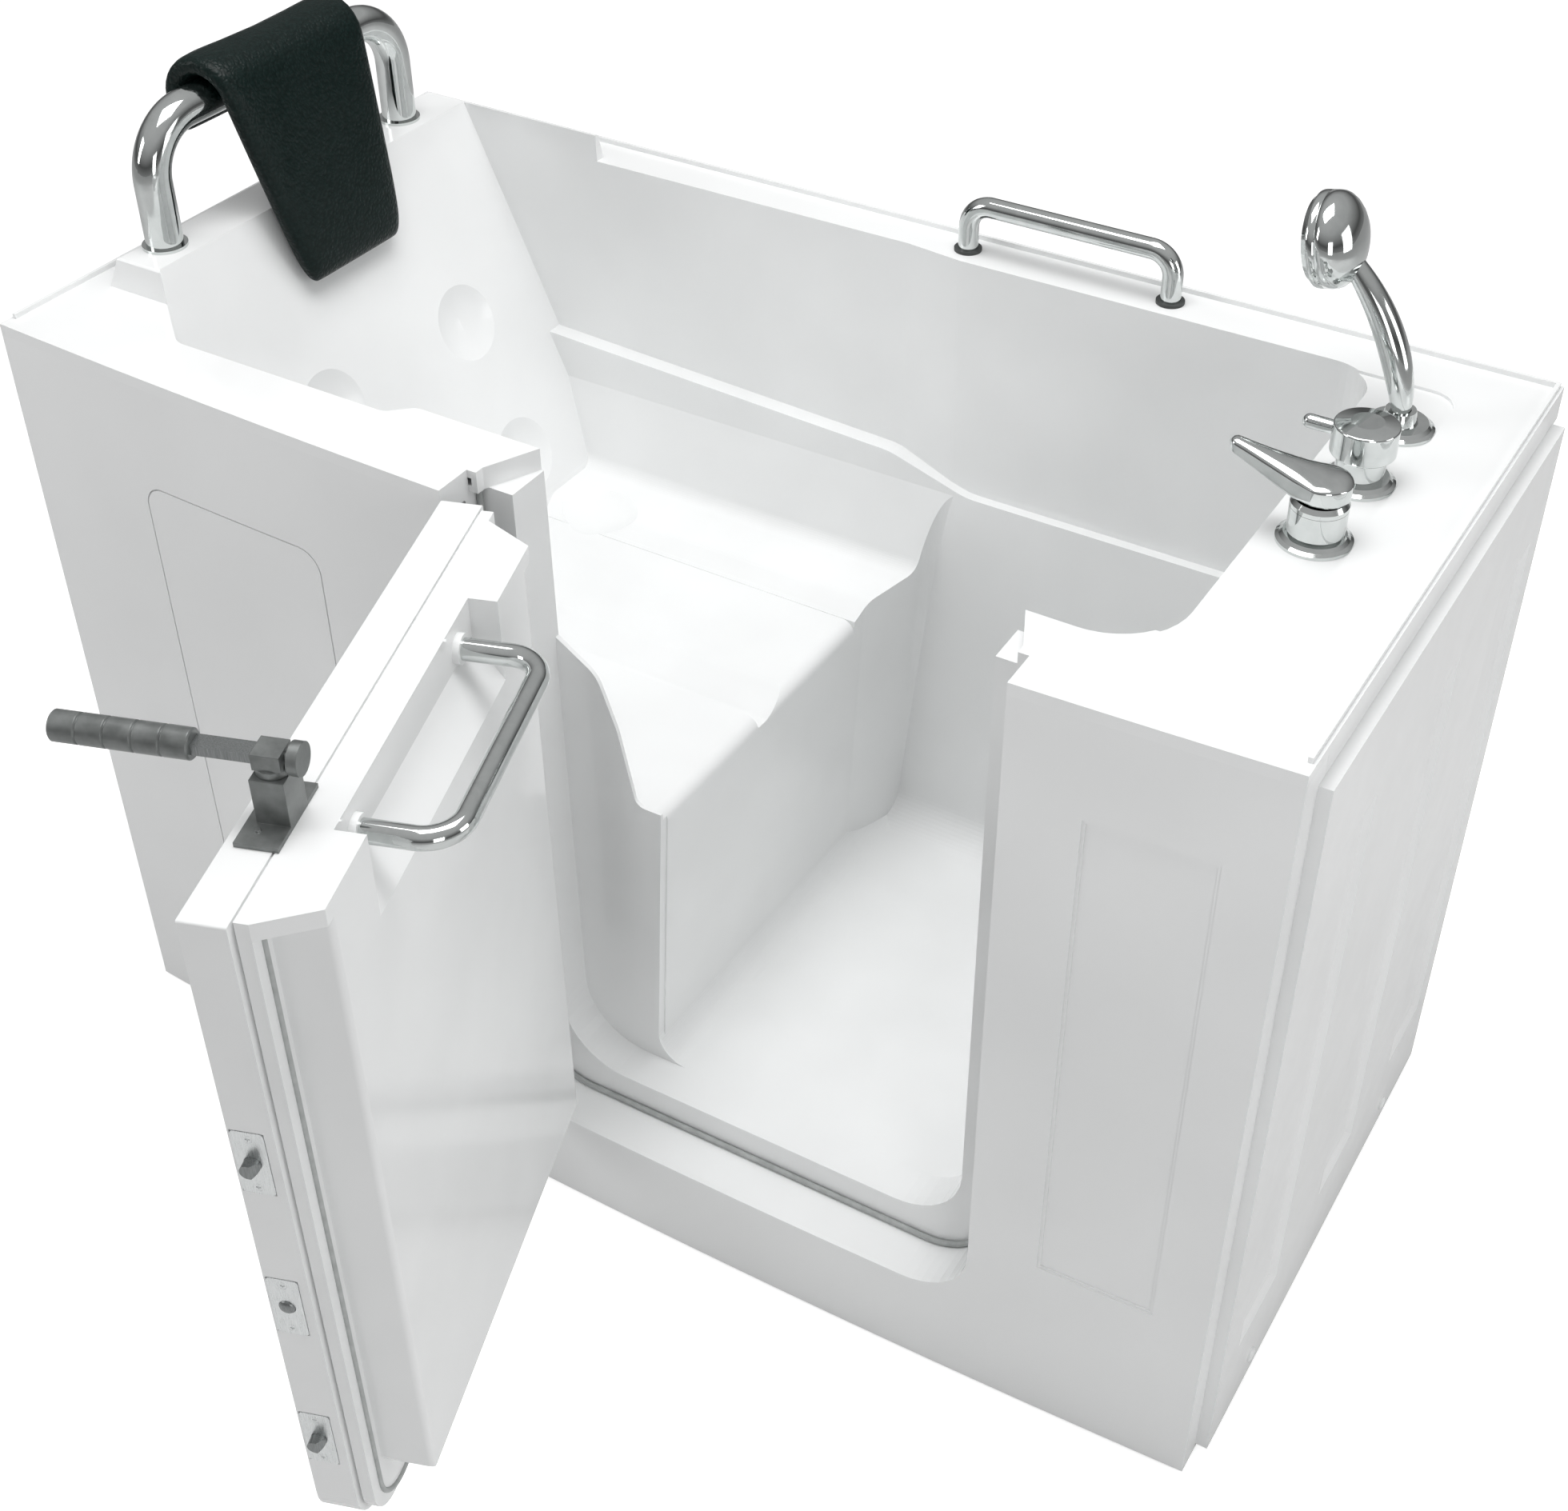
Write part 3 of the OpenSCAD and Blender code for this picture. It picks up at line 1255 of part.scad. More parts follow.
module strike_plates() color("gray") place() at_doorway()
    for (z = latch_z)
        difference() {
            box([jamb_r + strike_sink, latch_y - slot_w / 2 + fit, z - slot_h / 2 + fit],
                [jamb_r + strike_sink + strike_t, latch_y + slot_w / 2 - fit, z + slot_h / 2 - fit]);
            box([jamb_r, latch_y - strike_bore_w / 2, z - strike_bore_h / 2],
                [jamb_r + 2 * strike_t, latch_y + strike_bore_w / 2, z + strike_bore_h / 2]);
        }
module strike_slots()
    for (z = latch_z)
        box([jamb_r - over, latch_y - slot_w / 2, z - slot_h / 2],
            [jamb_r + 2 * wall, latch_y + slot_w / 2, z + slot_h / 2]);

// Bead round the foot of the rebate
jamb_seal_r = 3;
module jamb_seal() color("lightgray") place() at_doorway() {
    inset = jamb_seal_r + fit;
    translate([(jamb_l + jamb_r) / 2, rebate_depth - inset, post_top - over])
        mirror([0, 0, 1])
        u_bar(door_w - 2 * inset, post_top - over - step_z - inset, rebate_r - inset, jamb_seal_r);
}

// Continuous hinge: two leaves with alternate knuckles on one pin
hinge_foot = 200;
hinge_drop = 28;
leaf_w = 32;
knuckles = 7;
knuckle_gap = 0.3;
pin_r = 1.5;
hinge_top = deck_h - hinge_drop;
knuckle_pitch = (hinge_top - hinge_foot) / knuckles;
module leaf(x0, first) {
    difference() {
        union() {
            box([x0, knuckle_r + leaf_gap / 2, hinge_foot], [x0 + leaf_t, knuckle_r + leaf_w, hinge_top]);
            for (k = [first : 2 : knuckles - 1]) {
                z0 = hinge_foot + k * knuckle_pitch + knuckle_gap / 2;
                z1 = z0 + knuckle_pitch - knuckle_gap;
                translate([0, 0, z0]) cylinder(r = knuckle_r, h = z1 - z0, $fn = smooth);
                box([x0, 0, z0], [x0 + leaf_t, knuckle_r + leaf_gap, z1]);
            }
        }
        translate([0, 0, hinge_foot - over])
            cylinder(r = pin_r + run_fit, h = hinge_top - hinge_foot + 2 * over, $fn = smooth);
    }
}
module hinge_jamb_leaf() color("silver") place() at_doorway() leaf(-leaf_gap / 2 - leaf_t, 0);
module hinge_door_leaf() color("silver") place() at_door() leaf(leaf_gap / 2, 1);
module hinge_pin() color("gray") place() at_doorway()
    translate([0, 0, hinge_foot]) cylinder(r = pin_r, h = hinge_top - hinge_foot, $fn = smooth);

// Lever handle on top of the door, with the rod that works the dead bolt
lever_x = 423;
lever_y = 33;
plate_len = 39;
lever_plate_w = 34;
lever_plate_t = 4;
lever_plate_l = 35;
lever_leg = 12;
post_w = 30;
post_d = 26;
post_h = 43;
hub_r = 13;
hub_h = 6;
root_h = 14;
root_w = 22;
arm_w = 15;
arm_t = 8;
arm_reach = 58;
grip_r = 12;
grip_len = 107;
grip_rings = 5;
grip_groove = 1.2;
roller_r = 13;
roller_t = 8;
roller_y = 24;
rod_r = 4;
rod_foot = latch_z[1];
lever_z0 = post_h + fit;

module at_lever(z) translate([lever_x, lever_y, door_top + z]) children();
module lever_base() color("gray") place() at_door() at_lever(0) {
    difference() {
        union() {
            box([-lever_plate_l, -lever_plate_w / 2 - 4, 0], [plate_len, lever_plate_w / 2 - 4, lever_plate_t]);
            box([-post_w / 2, -post_d / 2, 0], [post_w / 2, post_d / 2, post_h]);
            translate([plate_len * 0.6, -lever_plate_w / 4, 0])
                cylinder(r1 = screw_head_r, r2 = screw_r, h = lever_plate_t + rose_lip / 2, $fn = smooth);
        }
        translate([0, 0, -over]) cylinder(r = rod_r + run_fit, h = post_h + 2 * over, $fn = smooth);
    }
}
module latch_rod() color("silver") place() at_door()
    translate([lever_x, lever_y, rod_foot]) cylinder(r = rod_r, h = door_top + lever_z0 + hub_h - rod_foot, $fn = smooth);
module lever_hub() color("gray") place() at_door() at_lever(lever_z0) {
    ring(hub_r, rod_r + run_fit, hub_h);
    box([-root_w / 2, -root_w / 2, hub_h], [root_w / 2, root_w / 2, hub_h + root_h]);
}
module lever_arm() color("silver") place() at_door() at_lever(lever_z0 + hub_h + (root_h - arm_t) / 2)
    box([-arm_w / 2, -arm_reach, 0], [arm_w / 2, -root_w / 2, arm_t]);
module lever_grip() color("gray") place() at_door() at_lever(lever_z0 + hub_h + root_h / 2)
    translate([0, -arm_reach, 0])
    rotate([90, 0, 0])
    rotate_extrude($fn = smooth)
    polygon(concat([[0, 0]], [for (k = [0 : grip_rings - 1]) each [
        [grip_r - grip_groove, k * grip_len / grip_rings],
        [grip_r, k * grip_len / grip_rings + grip_groove],
        [grip_r, (k + 1) * grip_len / grip_rings - grip_groove],
        [grip_r - grip_groove, (k + 1) * grip_len / grip_rings]
    ]], [[0, grip_len]]));
module lever_roller() color("dimgray") place() at_door() at_lever(lever_z0 + hub_h + root_h / 2)
    translate([0, root_w / 2, 0]) rotate([-90, 0, 0]) {
        cylinder(r = rod_r, h = roller_y - root_w / 2, $fn = smooth);
        translate([0, 0, roller_y - root_w / 2 - roller_t]) cylinder(r = roller_r, h = roller_t, $fn = smooth);
    }

tub_shell();
front_skirt();
access_panel();
end_panel();
end_panel_screws();
support_frame();
levelling_feet();
drain_flange();
drain_stopper();
waste_pipe();
overflow_pipe();
overflow_plate();
overflow_knob();
headrest_bar();
headrest_pillow();
back_grab_bar();
grab_bar_collars();
mixer_escutcheon();
mixer_body();
mixer_hub();
mixer_lever();
diverter_escutcheon();
diverter_body();
diverter_knob();
handset_escutcheon();
handset_holder();
handset_body();
handset_face();
tap_nuts();
jamb_seal();
strike_plates();
hinge_jamb_leaf();
hinge_door_leaf();
hinge_pin();
door_outer_shell();
door_inner_shell();
door_seal();
door_grab_bar();
door_bar_collars();
latch_faceplates();
latch_screws();
upper_spring_bolt();
middle_dead_bolt();
lower_spring_bolt();
lever_base();
lever_hub();
lever_arm();
lever_grip();
lever_roller();
latch_rod();
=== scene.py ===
"""Looks of the walk in bathtub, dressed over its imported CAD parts."""

import math

import bmesh
import bpy
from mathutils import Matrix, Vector


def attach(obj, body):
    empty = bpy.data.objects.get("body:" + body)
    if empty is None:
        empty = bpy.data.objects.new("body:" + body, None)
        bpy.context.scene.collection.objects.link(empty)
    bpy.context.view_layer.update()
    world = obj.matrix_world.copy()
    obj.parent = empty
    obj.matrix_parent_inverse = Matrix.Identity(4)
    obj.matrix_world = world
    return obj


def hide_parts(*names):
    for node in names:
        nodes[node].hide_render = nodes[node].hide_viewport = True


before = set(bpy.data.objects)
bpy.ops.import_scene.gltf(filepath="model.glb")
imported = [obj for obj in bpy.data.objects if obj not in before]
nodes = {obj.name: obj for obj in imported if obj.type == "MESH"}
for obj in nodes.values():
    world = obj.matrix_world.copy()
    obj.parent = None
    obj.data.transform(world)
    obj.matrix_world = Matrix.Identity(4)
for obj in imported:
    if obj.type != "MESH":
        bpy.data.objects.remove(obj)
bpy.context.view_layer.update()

MM = 0.001
TUB_LEN, TUB_W = 1346, 661


def place(x, y, z):
    """A point drawn in millimetres from the head end, the front corners and the floor, in the part's own frame."""
    return Vector(((x - TUB_LEN / 2) * MM, (y - TUB_W / 2) * MM, z * MM))


# Camera at the photograph's viewing angle
PHOTO_W, PHOTO_H = 1960, 1889
FOCAL_PX = 2734.134
CENTRE_X, CENTRE_Y = 1015.957, 900.732

camera_data = bpy.data.cameras.new("photo_camera")
camera_data.sensor_fit = "HORIZONTAL"
camera_data.sensor_width = 36
camera_data.lens = FOCAL_PX / PHOTO_W * 36
camera_data.shift_x = (PHOTO_W / 2 - CENTRE_X) / PHOTO_W
camera_data.shift_y = (CENTRE_Y - PHOTO_H / 2) / PHOTO_W
camera_data.clip_start, camera_data.clip_end = 0.05, 50
camera = bpy.data.objects.new("photo_camera", camera_data)
camera.location = place(1663.548, -1236.422, 1908.384)
camera.rotation_euler = (math.pi / 2 - 0.6691411, 0, 0.5385825)
bpy.context.scene.collection.objects.link(camera)
bpy.context.scene.camera = camera
bpy.context.scene.view_settings.view_transform = "Standard"


# Materials
def linear(hex_colour):
    """Linear RGBA of an sRGB hex colour."""
    parts = [int(hex_colour[i : i + 2], 16) / 255 for i in (1, 3, 5)]
    return [c / 12.92 if c <= 0.04045 else ((c + 0.055) / 1.055) ** 2.4 for c in parts] + [1]


def add(tree, kind, settings=None, **links):
    """Adds a node, sets its fields and sockets, and links what is given as a socket."""
    node = tree.nodes.new(kind)
    for name, value in (settings or {}).items():
        setattr(node, name, value)
    for name, value in links.items():
        index = int(name[1:]) if name[0] == "i" and name[1:].isdigit() else name.replace("_", " ")
        socket = node.inputs[index]
        if isinstance(value, bpy.types.NodeSocket):
            tree.links.new(value, socket)
        else:
            socket.default_value = value
    return node


def new_material(name):
    material = bpy.data.materials.new(name)
    material.use_nodes = True
    material.node_tree.nodes.clear()
    return material, material.node_tree


def shade(tree, shader):
    tree.links.new(shader, add(tree, "ShaderNodeOutputMaterial").inputs["Surface"])


def coords(tree):
    return add(tree, "ShaderNodeTexCoord").outputs["Object"]


def wavelength(mm):
    """Noise scale whose blobs are about this many millimetres across."""
    return 1000 / mm


def ramp(tree, factor, low, high, colour_low, colour_high):
    """Blends two colours as factor runs from low to high."""
    node = add(tree, "ShaderNodeValToRGB", Fac=factor)
    node.color_ramp.elements[0].position, node.color_ramp.elements[1].position = low, high
    node.color_ramp.elements[0].color, node.color_ramp.elements[1].color = colour_low, colour_high
    return node.outputs["Color"]


def remap(tree, value, low, high, to_low, to_high):
    return add(tree, "ShaderNodeMapRange", i0=value, i1=low, i2=high, i3=to_low, i4=to_high).outputs[0]


def cast_acrylic():
    """Vacuum formed sanitary acrylic: white, wet looking gloss, with a faint pull of the sheet."""
    material, tree = new_material("white_cast_acrylic")
    at = coords(tree)
    pull = add(tree, "ShaderNodeTexNoise", Vector=at, Scale=wavelength(160), Detail=2.0)
    film = add(tree, "ShaderNodeTexNoise", Vector=at, Scale=wavelength(55), Detail=4.0)
    colour = ramp(tree, pull.outputs["Fac"], 0.3, 0.7, linear("#EDEEEE"), linear("#F3F4F4"))
    rough = remap(tree, film.outputs["Fac"], 0.3, 0.7, 0.1, 0.17)
    bump = add(tree, "ShaderNodeBump", Strength=0.08, Distance=0.003, Height=pull.outputs["Fac"])
    shade(tree, add(tree, "ShaderNodeBsdfPrincipled", Base_Color=colour, Roughness=rough, IOR=1.49,
        Normal=bump.outputs[0]).outputs[0])
    return material


def moulded_panel():
    """Skirt and end panel: the same white in a thinner, slightly flatter gloss, where the sheet's waves show more."""
    material, tree = new_material("white_formed_panel")
    at = coords(tree)
    wide = add(tree, "ShaderNodeTexNoise", Vector=at, Scale=wavelength(220), Detail=1.0)
    film = add(tree, "ShaderNodeTexNoise", Vector=at, Scale=wavelength(40), Detail=4.0)
    colour = ramp(tree, wide.outputs["Fac"], 0.3, 0.7, linear("#EDEEEE"), linear("#F3F4F4"))
    rough = remap(tree, film.outputs["Fac"], 0.3, 0.7, 0.18, 0.21)
    bump = add(tree, "ShaderNodeBump", Strength=0.035, Distance=0.004, Height=wide.outputs["Fac"])
    shade(tree, add(tree, "ShaderNodeBsdfPrincipled", Base_Color=colour, Roughness=rough, IOR=1.49,
        Normal=bump.outputs[0]).outputs[0])
    return material


def chrome_plate():
    """Polished chrome plate over brass: a cool mirror with the faint haze that wiping leaves."""
    material, tree = new_material("polished_chrome_plate")
    at = coords(tree)
    wiped = add(tree, "ShaderNodeTexNoise", Vector=at, Scale=wavelength(18), Detail=5.0, Distortion=0.6)
    rough = remap(tree, wiped.outputs["Fac"], 0.35, 0.7, 0.045, 0.12)
    tone = ramp(tree, wiped.outputs["Fac"], 0.3, 0.75, linear("#D9DCDB"), linear("#CBCFCE"))
    shade(tree, add(tree, "ShaderNodeBsdfPrincipled", Base_Color=tone, Metallic=1.0, Roughness=rough).outputs[0])
    return material


def satin_steel(name, light, dark, rough_low, rough_high):
    """Rolled stainless with a brushed satin face: fine lines along its height, drawn coarse enough to show."""
    material, tree = new_material(name)
    stretch = add(tree, "ShaderNodeMapping", Vector=coords(tree), Scale=(1, 1, 0.06))
    lines = add(tree, "ShaderNodeTexNoise", Vector=stretch.outputs[0], Scale=wavelength(0.8), Detail=3.0)
    colour = ramp(tree, lines.outputs["Fac"], 0.3, 0.7, linear(dark), linear(light))
    rough = remap(tree, lines.outputs["Fac"], 0.3, 0.7, rough_low, rough_high)
    edge = add(tree, "ShaderNodeBevel", {"samples": 4}, Radius=0.0004)
    bump = add(tree, "ShaderNodeBump", Strength=0.08, Distance=0.0001, Height=lines.outputs["Fac"],
        Normal=edge.outputs[0])
    shade(tree, add(tree, "ShaderNodeBsdfPrincipled", Base_Color=colour, Metallic=1.0, Roughness=rough,
        Normal=bump.outputs[0]).outputs[0])
    return material


def cast_zinc():
    """Die cast zinc alloy in a grey satin lacquer: a soft metallic sheen over a fine sandy skin."""
    material, tree = new_material("grey_lacquered_zinc")
    at = coords(tree)
    sand = add(tree, "ShaderNodeTexNoise", Vector=at, Scale=wavelength(0.9), Detail=3.0)
    cloud = add(tree, "ShaderNodeTexNoise", Vector=at, Scale=wavelength(14), Detail=3.0)
    colour = ramp(tree, cloud.outputs["Fac"], 0.3, 0.7, linear("#6F7271"), linear("#868988"))
    rough = remap(tree, cloud.outputs["Fac"], 0.3, 0.7, 0.3, 0.42)
    edge = add(tree, "ShaderNodeBevel", {"samples": 6}, Radius=0.0009)
    bump = add(tree, "ShaderNodeBump", Strength=0.12, Distance=0.0001, Height=sand.outputs["Fac"],
        Normal=edge.outputs[0])
    shade(tree, add(tree, "ShaderNodeBsdfPrincipled", Base_Color=colour, Metallic=0.55, Roughness=rough,
        Normal=bump.outputs[0]).outputs[0])
    return material


def pillow_leather():
    """Coated upholstery leather over foam: near black green, polished where a head rubs. Its pebbles are drawn 3.6 mm
    across, coarser than the 1 to 2 mm of the hide, so that they show."""
    material, tree = new_material("green_black_leather")
    at = coords(tree)
    warp = add(tree, "ShaderNodeTexNoise", Vector=at, Scale=wavelength(9), Detail=2.0)
    bent = add(tree, "ShaderNodeMixRGB", {"blend_type": "LINEAR_LIGHT"}, Fac=0.003, Color1=at,
        Color2=warp.outputs["Color"])
    pebble = add(tree, "ShaderNodeTexVoronoi", {"feature": "SMOOTH_F1"}, Vector=bent.outputs[0],
        Scale=wavelength(3.6), Smoothness=0.45, Randomness=1.0)
    fine = add(tree, "ShaderNodeTexNoise", Vector=at, Scale=wavelength(0.9), Detail=2.0)
    rub = add(tree, "ShaderNodeTexNoise", Vector=at, Scale=wavelength(38), Detail=3.0)
    colour = ramp(tree, pebble.outputs["Distance"], 0.1, 0.75, linear("#10201E"), linear("#0A1715"))
    rough = remap(tree, rub.outputs["Fac"], 0.3, 0.7, 0.28, 0.4)
    grain = add(tree, "ShaderNodeBump", {"invert": True}, Strength=0.75, Distance=0.0009,
        Height=pebble.outputs["Distance"])
    bump = add(tree, "ShaderNodeBump", Strength=0.08, Distance=0.0002, Height=fine.outputs["Fac"],
        Normal=grain.outputs[0])
    shade(tree, add(tree, "ShaderNodeBsdfPrincipled", Base_Color=colour, Roughness=rough, IOR=1.47,
        Specular_IOR_Level=0.2, Normal=bump.outputs[0]).outputs[0])
    return material


def soft_rubber(name, light, dark):
    """Extruded elastomer: matt, with a bloom of dust that pales it in patches."""
    material, tree = new_material(name)
    at = coords(tree)
    bloom = add(tree, "ShaderNodeTexNoise", Vector=at, Scale=wavelength(12), Detail=4.0)
    skin = add(tree, "ShaderNodeTexNoise", Vector=at, Scale=wavelength(1.2), Detail=2.0)
    colour = ramp(tree, bloom.outputs["Fac"], 0.3, 0.7, linear(dark), linear(light))
    rough = remap(tree, bloom.outputs["Fac"], 0.3, 0.7, 0.42, 0.58)
    bump = add(tree, "ShaderNodeBump", Strength=0.1, Distance=0.0001, Height=skin.outputs["Fac"])
    shade(tree, add(tree, "ShaderNodeBsdfPrincipled", Base_Color=colour, Roughness=rough, IOR=1.45,
        Normal=bump.outputs[0]).outputs[0])
    return material


def powder_coat():
    """Powder coated steel tube: dark grey, low gloss, with the coat's orange peel about 1.5 mm across."""
    material, tree = new_material("dark_powder_coated_steel")
    at = coords(tree)
    peel = add(tree, "ShaderNodeTexVoronoi", {"feature": "SMOOTH_F1"}, Vector=at, Scale=wavelength(1.5),
        Smoothness=0.8)
    dust = add(tree, "ShaderNodeTexNoise", Vector=at, Scale=wavelength(70), Detail=4.0)
    colour = ramp(tree, dust.outputs["Fac"], 0.35, 0.75, linear("#3A3D3E"), linear("#505355"))
    rough = remap(tree, dust.outputs["Fac"], 0.3, 0.7, 0.4, 0.55)
    edge = add(tree, "ShaderNodeBevel", {"samples": 4}, Radius=0.002)
    bump = add(tree, "ShaderNodeBump", Strength=0.15, Distance=0.0002, Height=peel.outputs["Distance"],
        Normal=edge.outputs[0])
    shade(tree, add(tree, "ShaderNodeBsdfPrincipled", Base_Color=colour, Roughness=rough,
        Normal=bump.outputs[0]).outputs[0])
    return material


def pipe_plastic():
    """Drain pipe in moulded PVC: warm grey white, half matt, scuffed along its length."""
    material, tree = new_material("grey_moulded_pvc")
    at = coords(tree)
    scuff = add(tree, "ShaderNodeTexNoise", Vector=at, Scale=wavelength(5), Detail=6.0, Distortion=1.0)
    colour = ramp(tree, scuff.outputs["Fac"], 0.3, 0.75, linear("#D9D8D4"), linear("#C6C5C0"))
    rough = remap(tree, scuff.outputs["Fac"], 0.3, 0.7, 0.35, 0.5)
    shade(tree, add(tree, "ShaderNodeBsdfPrincipled", Base_Color=colour, Roughness=rough, IOR=1.53).outputs[0])
    return material


def turned_brass():
    """Turned brass back nuts: raw metal with fine tool rings and a slight brown tarnish."""
    material, tree = new_material("turned_brass")
    at = coords(tree)
    tarnish = add(tree, "ShaderNodeTexNoise", Vector=at, Scale=wavelength(10), Detail=4.0)
    rings = add(tree, "ShaderNodeTexWave", {"bands_direction": "Z"}, Vector=at, Scale=wavelength(1.2) / 20)
    colour = ramp(tree, tarnish.outputs["Fac"], 0.3, 0.75, linear("#C9A85F"), linear("#9C7C40"))
    rough = remap(tree, tarnish.outputs["Fac"], 0.3, 0.7, 0.22, 0.38)
    bump = add(tree, "ShaderNodeBump", Strength=0.1, Distance=0.0001, Height=rings.outputs["Fac"])
    shade(tree, add(tree, "ShaderNodeBsdfPrincipled", Base_Color=colour, Metallic=1.0, Roughness=rough,
        Normal=bump.outputs[0]).outputs[0])
    return material


ACRYLIC = cast_acrylic()
PANEL = moulded_panel()
CHROME = chrome_plate()
LATCH_STEEL = satin_steel("brushed_stainless_steel", "#EDEFEF", "#DADDDD", 0.24, 0.36)
# A darker copy of the same brushed stainless. Its darker colour is painted shade for the latch bolts, lever arm,
# strike plates and hinge parts in the door edge and jamb. Only its higher roughness is a real, duller finish.
SHADED_STAINLESS_STEEL = satin_steel("stainless_with_painted_shade", "#9C9F9F", "#7E8181", 0.3, 0.42)
ZINC = cast_zinc()
LEATHER = pillow_leather()
SEAL = soft_rubber("grey_silicone_seal", "#B9BCBB", "#A3A6A5")
GASKET = soft_rubber("dark_rubber_gasket", "#4A4D4C", "#363938")
FRAME_COAT = powder_coat()
PVC = pipe_plastic()
BRASS = turned_brass()

FINISHES = {
    ACRYLIC: ["tub_shell", "door_outer_shell", "door_inner_shell", "door_bar_collars"],
    PANEL: ["front_skirt", "access_panel", "end_panel", "end_panel_screws"],
    CHROME: ["drain_flange", "drain_stopper", "overflow_plate", "overflow_knob", "headrest_bar", "back_grab_bar",
        "mixer_escutcheon", "mixer_body", "mixer_hub", "mixer_lever", "diverter_escutcheon", "diverter_body",
        "diverter_knob", "handset_escutcheon", "handset_holder", "handset_body", "handset_face", "door_grab_bar"],
    LATCH_STEEL: ["latch_faceplates", "latch_screws", "latch_rod", "levelling_feet"],
    SHADED_STAINLESS_STEEL: ["upper_spring_bolt", "middle_dead_bolt", "lower_spring_bolt", "lever_arm", "strike_plates",
        "hinge_jamb_leaf", "hinge_door_leaf", "hinge_pin"],
    ZINC: ["lever_base", "lever_hub", "lever_grip", "lever_roller"],
    LEATHER: ["headrest_pillow"],
    SEAL: ["jamb_seal", "door_seal"],
    GASKET: ["grab_bar_collars"],
    FRAME_COAT: ["support_frame"],
    PVC: ["waste_pipe", "overflow_pipe"],
    BRASS: ["tap_nuts"],
}
for finish, members in FINISHES.items():
    for member in members:
        nodes[member].data.materials.clear()
        nodes[member].data.materials.append(finish)


# Smooth bodies over their plain solids, all drawn in millimetres
def solid(name, rings, finish, body, stands_for):
    """A closed tube of skin through rings of points, smooth shaded, riding a CAD body in place of its nodes."""
    count = len(rings[0])
    mesh = bpy.data.meshes.new(name)
    faces = [tuple(range(count)), tuple(range(len(rings) * count - 1, (len(rings) - 1) * count - 1, -1))]
    for i in range(len(rings) - 1):
        for j in range(count):
            k = (j + 1) % count
            faces.append((i * count + j, (i + 1) * count + j, (i + 1) * count + k, i * count + k))
    mesh.from_pydata([p for ring in rings for p in ring], [], faces)
    shell = bmesh.new()
    shell.from_mesh(mesh)
    bmesh.ops.recalc_face_normals(shell, faces=shell.faces)
    shell.to_mesh(mesh)
    shell.free()
    for face in mesh.polygons:
        face.use_smooth = len(face.vertices) == 4
    mesh.materials.append(finish)
    shape = bpy.data.objects.new(name, mesh)
    bpy.context.scene.collection.objects.link(shape)
    if stands_for:
        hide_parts(*stands_for)
    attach(shape, body)
    return shape


def puff(value, share):
    """Raises a cosine or sine to a power and keeps its sign, which squares or softens a round section."""
    return math.copysign(abs(value) ** share, value)


# Pillow: a padded leather slab that hangs over the headrest bar, from behind it to its foot on the backrest
BAR_X, BAR_Y, BAR_Z = 66, 351, 1042
PILLOW_R, PILLOW_T = 33.5, 27
PILLOW_TOP_W, PILLOW_FOOT_W = 232, 146
PILLOW_TAIL, PILLOW_WRAP, PILLOW_LEAVE, PILLOW_DROP = 34, math.radians(190), math.radians(13.34), 209.3
PILLOW_ARC = PILLOW_R * (PILLOW_WRAP - PILLOW_LEAVE)
PILLOW_LENGTH = PILLOW_TAIL + PILLOW_ARC + PILLOW_DROP
# Hollow that the head leaves: how deep, where along the pillow and how far it reaches, as shares of its length
SADDLE_DEEP, SADDLE_AT, SADDLE_REACH = 5.5, 0.22, 0.3
# Share of the width that the ends round off, and how square the section is across and outwards
END_ROUND, SQUARE_ACROSS, SQUARE_OUT = 0.17, 0.36, 0.62


def pillow_line(s):
    """Middle of the pillow and its outward angle at a way s along it, in the plane across the bar."""
    if s < PILLOW_TAIL:
        a, along = PILLOW_WRAP, s - PILLOW_TAIL
    elif s < PILLOW_TAIL + PILLOW_ARC:
        a, along = PILLOW_WRAP - (s - PILLOW_TAIL) / PILLOW_R, 0
    else:
        a, along = PILLOW_LEAVE, s - PILLOW_TAIL - PILLOW_ARC
    return (BAR_X + PILLOW_R * math.cos(a) + along * math.sin(a),
        BAR_Z + PILLOW_R * math.sin(a) - along * math.cos(a), a)


def pillow_ring(t, sides=60):
    """Section at a share t of the pillow's length: a rounded slab, thin and narrower at both ends."""
    x, z, a = pillow_line(t * PILLOW_LENGTH)
    end = max(0.0, 1 - abs(2 * t - 1) ** 10) ** 0.4
    half = PILLOW_T / 2 * max(0.1, end)
    wide = (PILLOW_TOP_W + (PILLOW_FOOT_W - PILLOW_TOP_W) * t ** 1.2) / 2 * (1 - END_ROUND + END_ROUND * end)
    ring = []
    for j in range(sides):
        b = 2 * math.pi * j / sides
        across = puff(math.cos(b), SQUARE_ACROSS)
        saddle = SADDLE_DEEP * (1 - across * across) * max(0, 1 - abs(t - SADDLE_AT) / SADDLE_REACH)
        out = half * puff(math.sin(b), SQUARE_OUT)
        out -= saddle if out > 0 else 0
        ring.append(place(x + out * math.cos(a), BAR_Y + wide * across, z + out * math.sin(a)))
    return ring


pillow = solid("pillow", [pillow_ring((1 - math.cos(math.pi * i / 60)) / 2) for i in range(61)], LEATHER, "pillow",
    ["headrest_pillow"])


# Mixer lever and hand shower, drawn as in their solids but smooth
TAP_X, TAP_Z = 1236, 885
MIXER_Y, SHOWER_Y = 302, 514
LEVER_Z, HUB_R, LEVER_LEN = TAP_Z + 42.6, 25, 84
LEVER_H, LEVER_SHOULDER, LEVER_TILT, STEM_X = 22, 16, math.radians(20), 17
TIP_W, TIP_FOOT, TIP_RISE, RISE_FROM = 7, 23, 13, 0.22


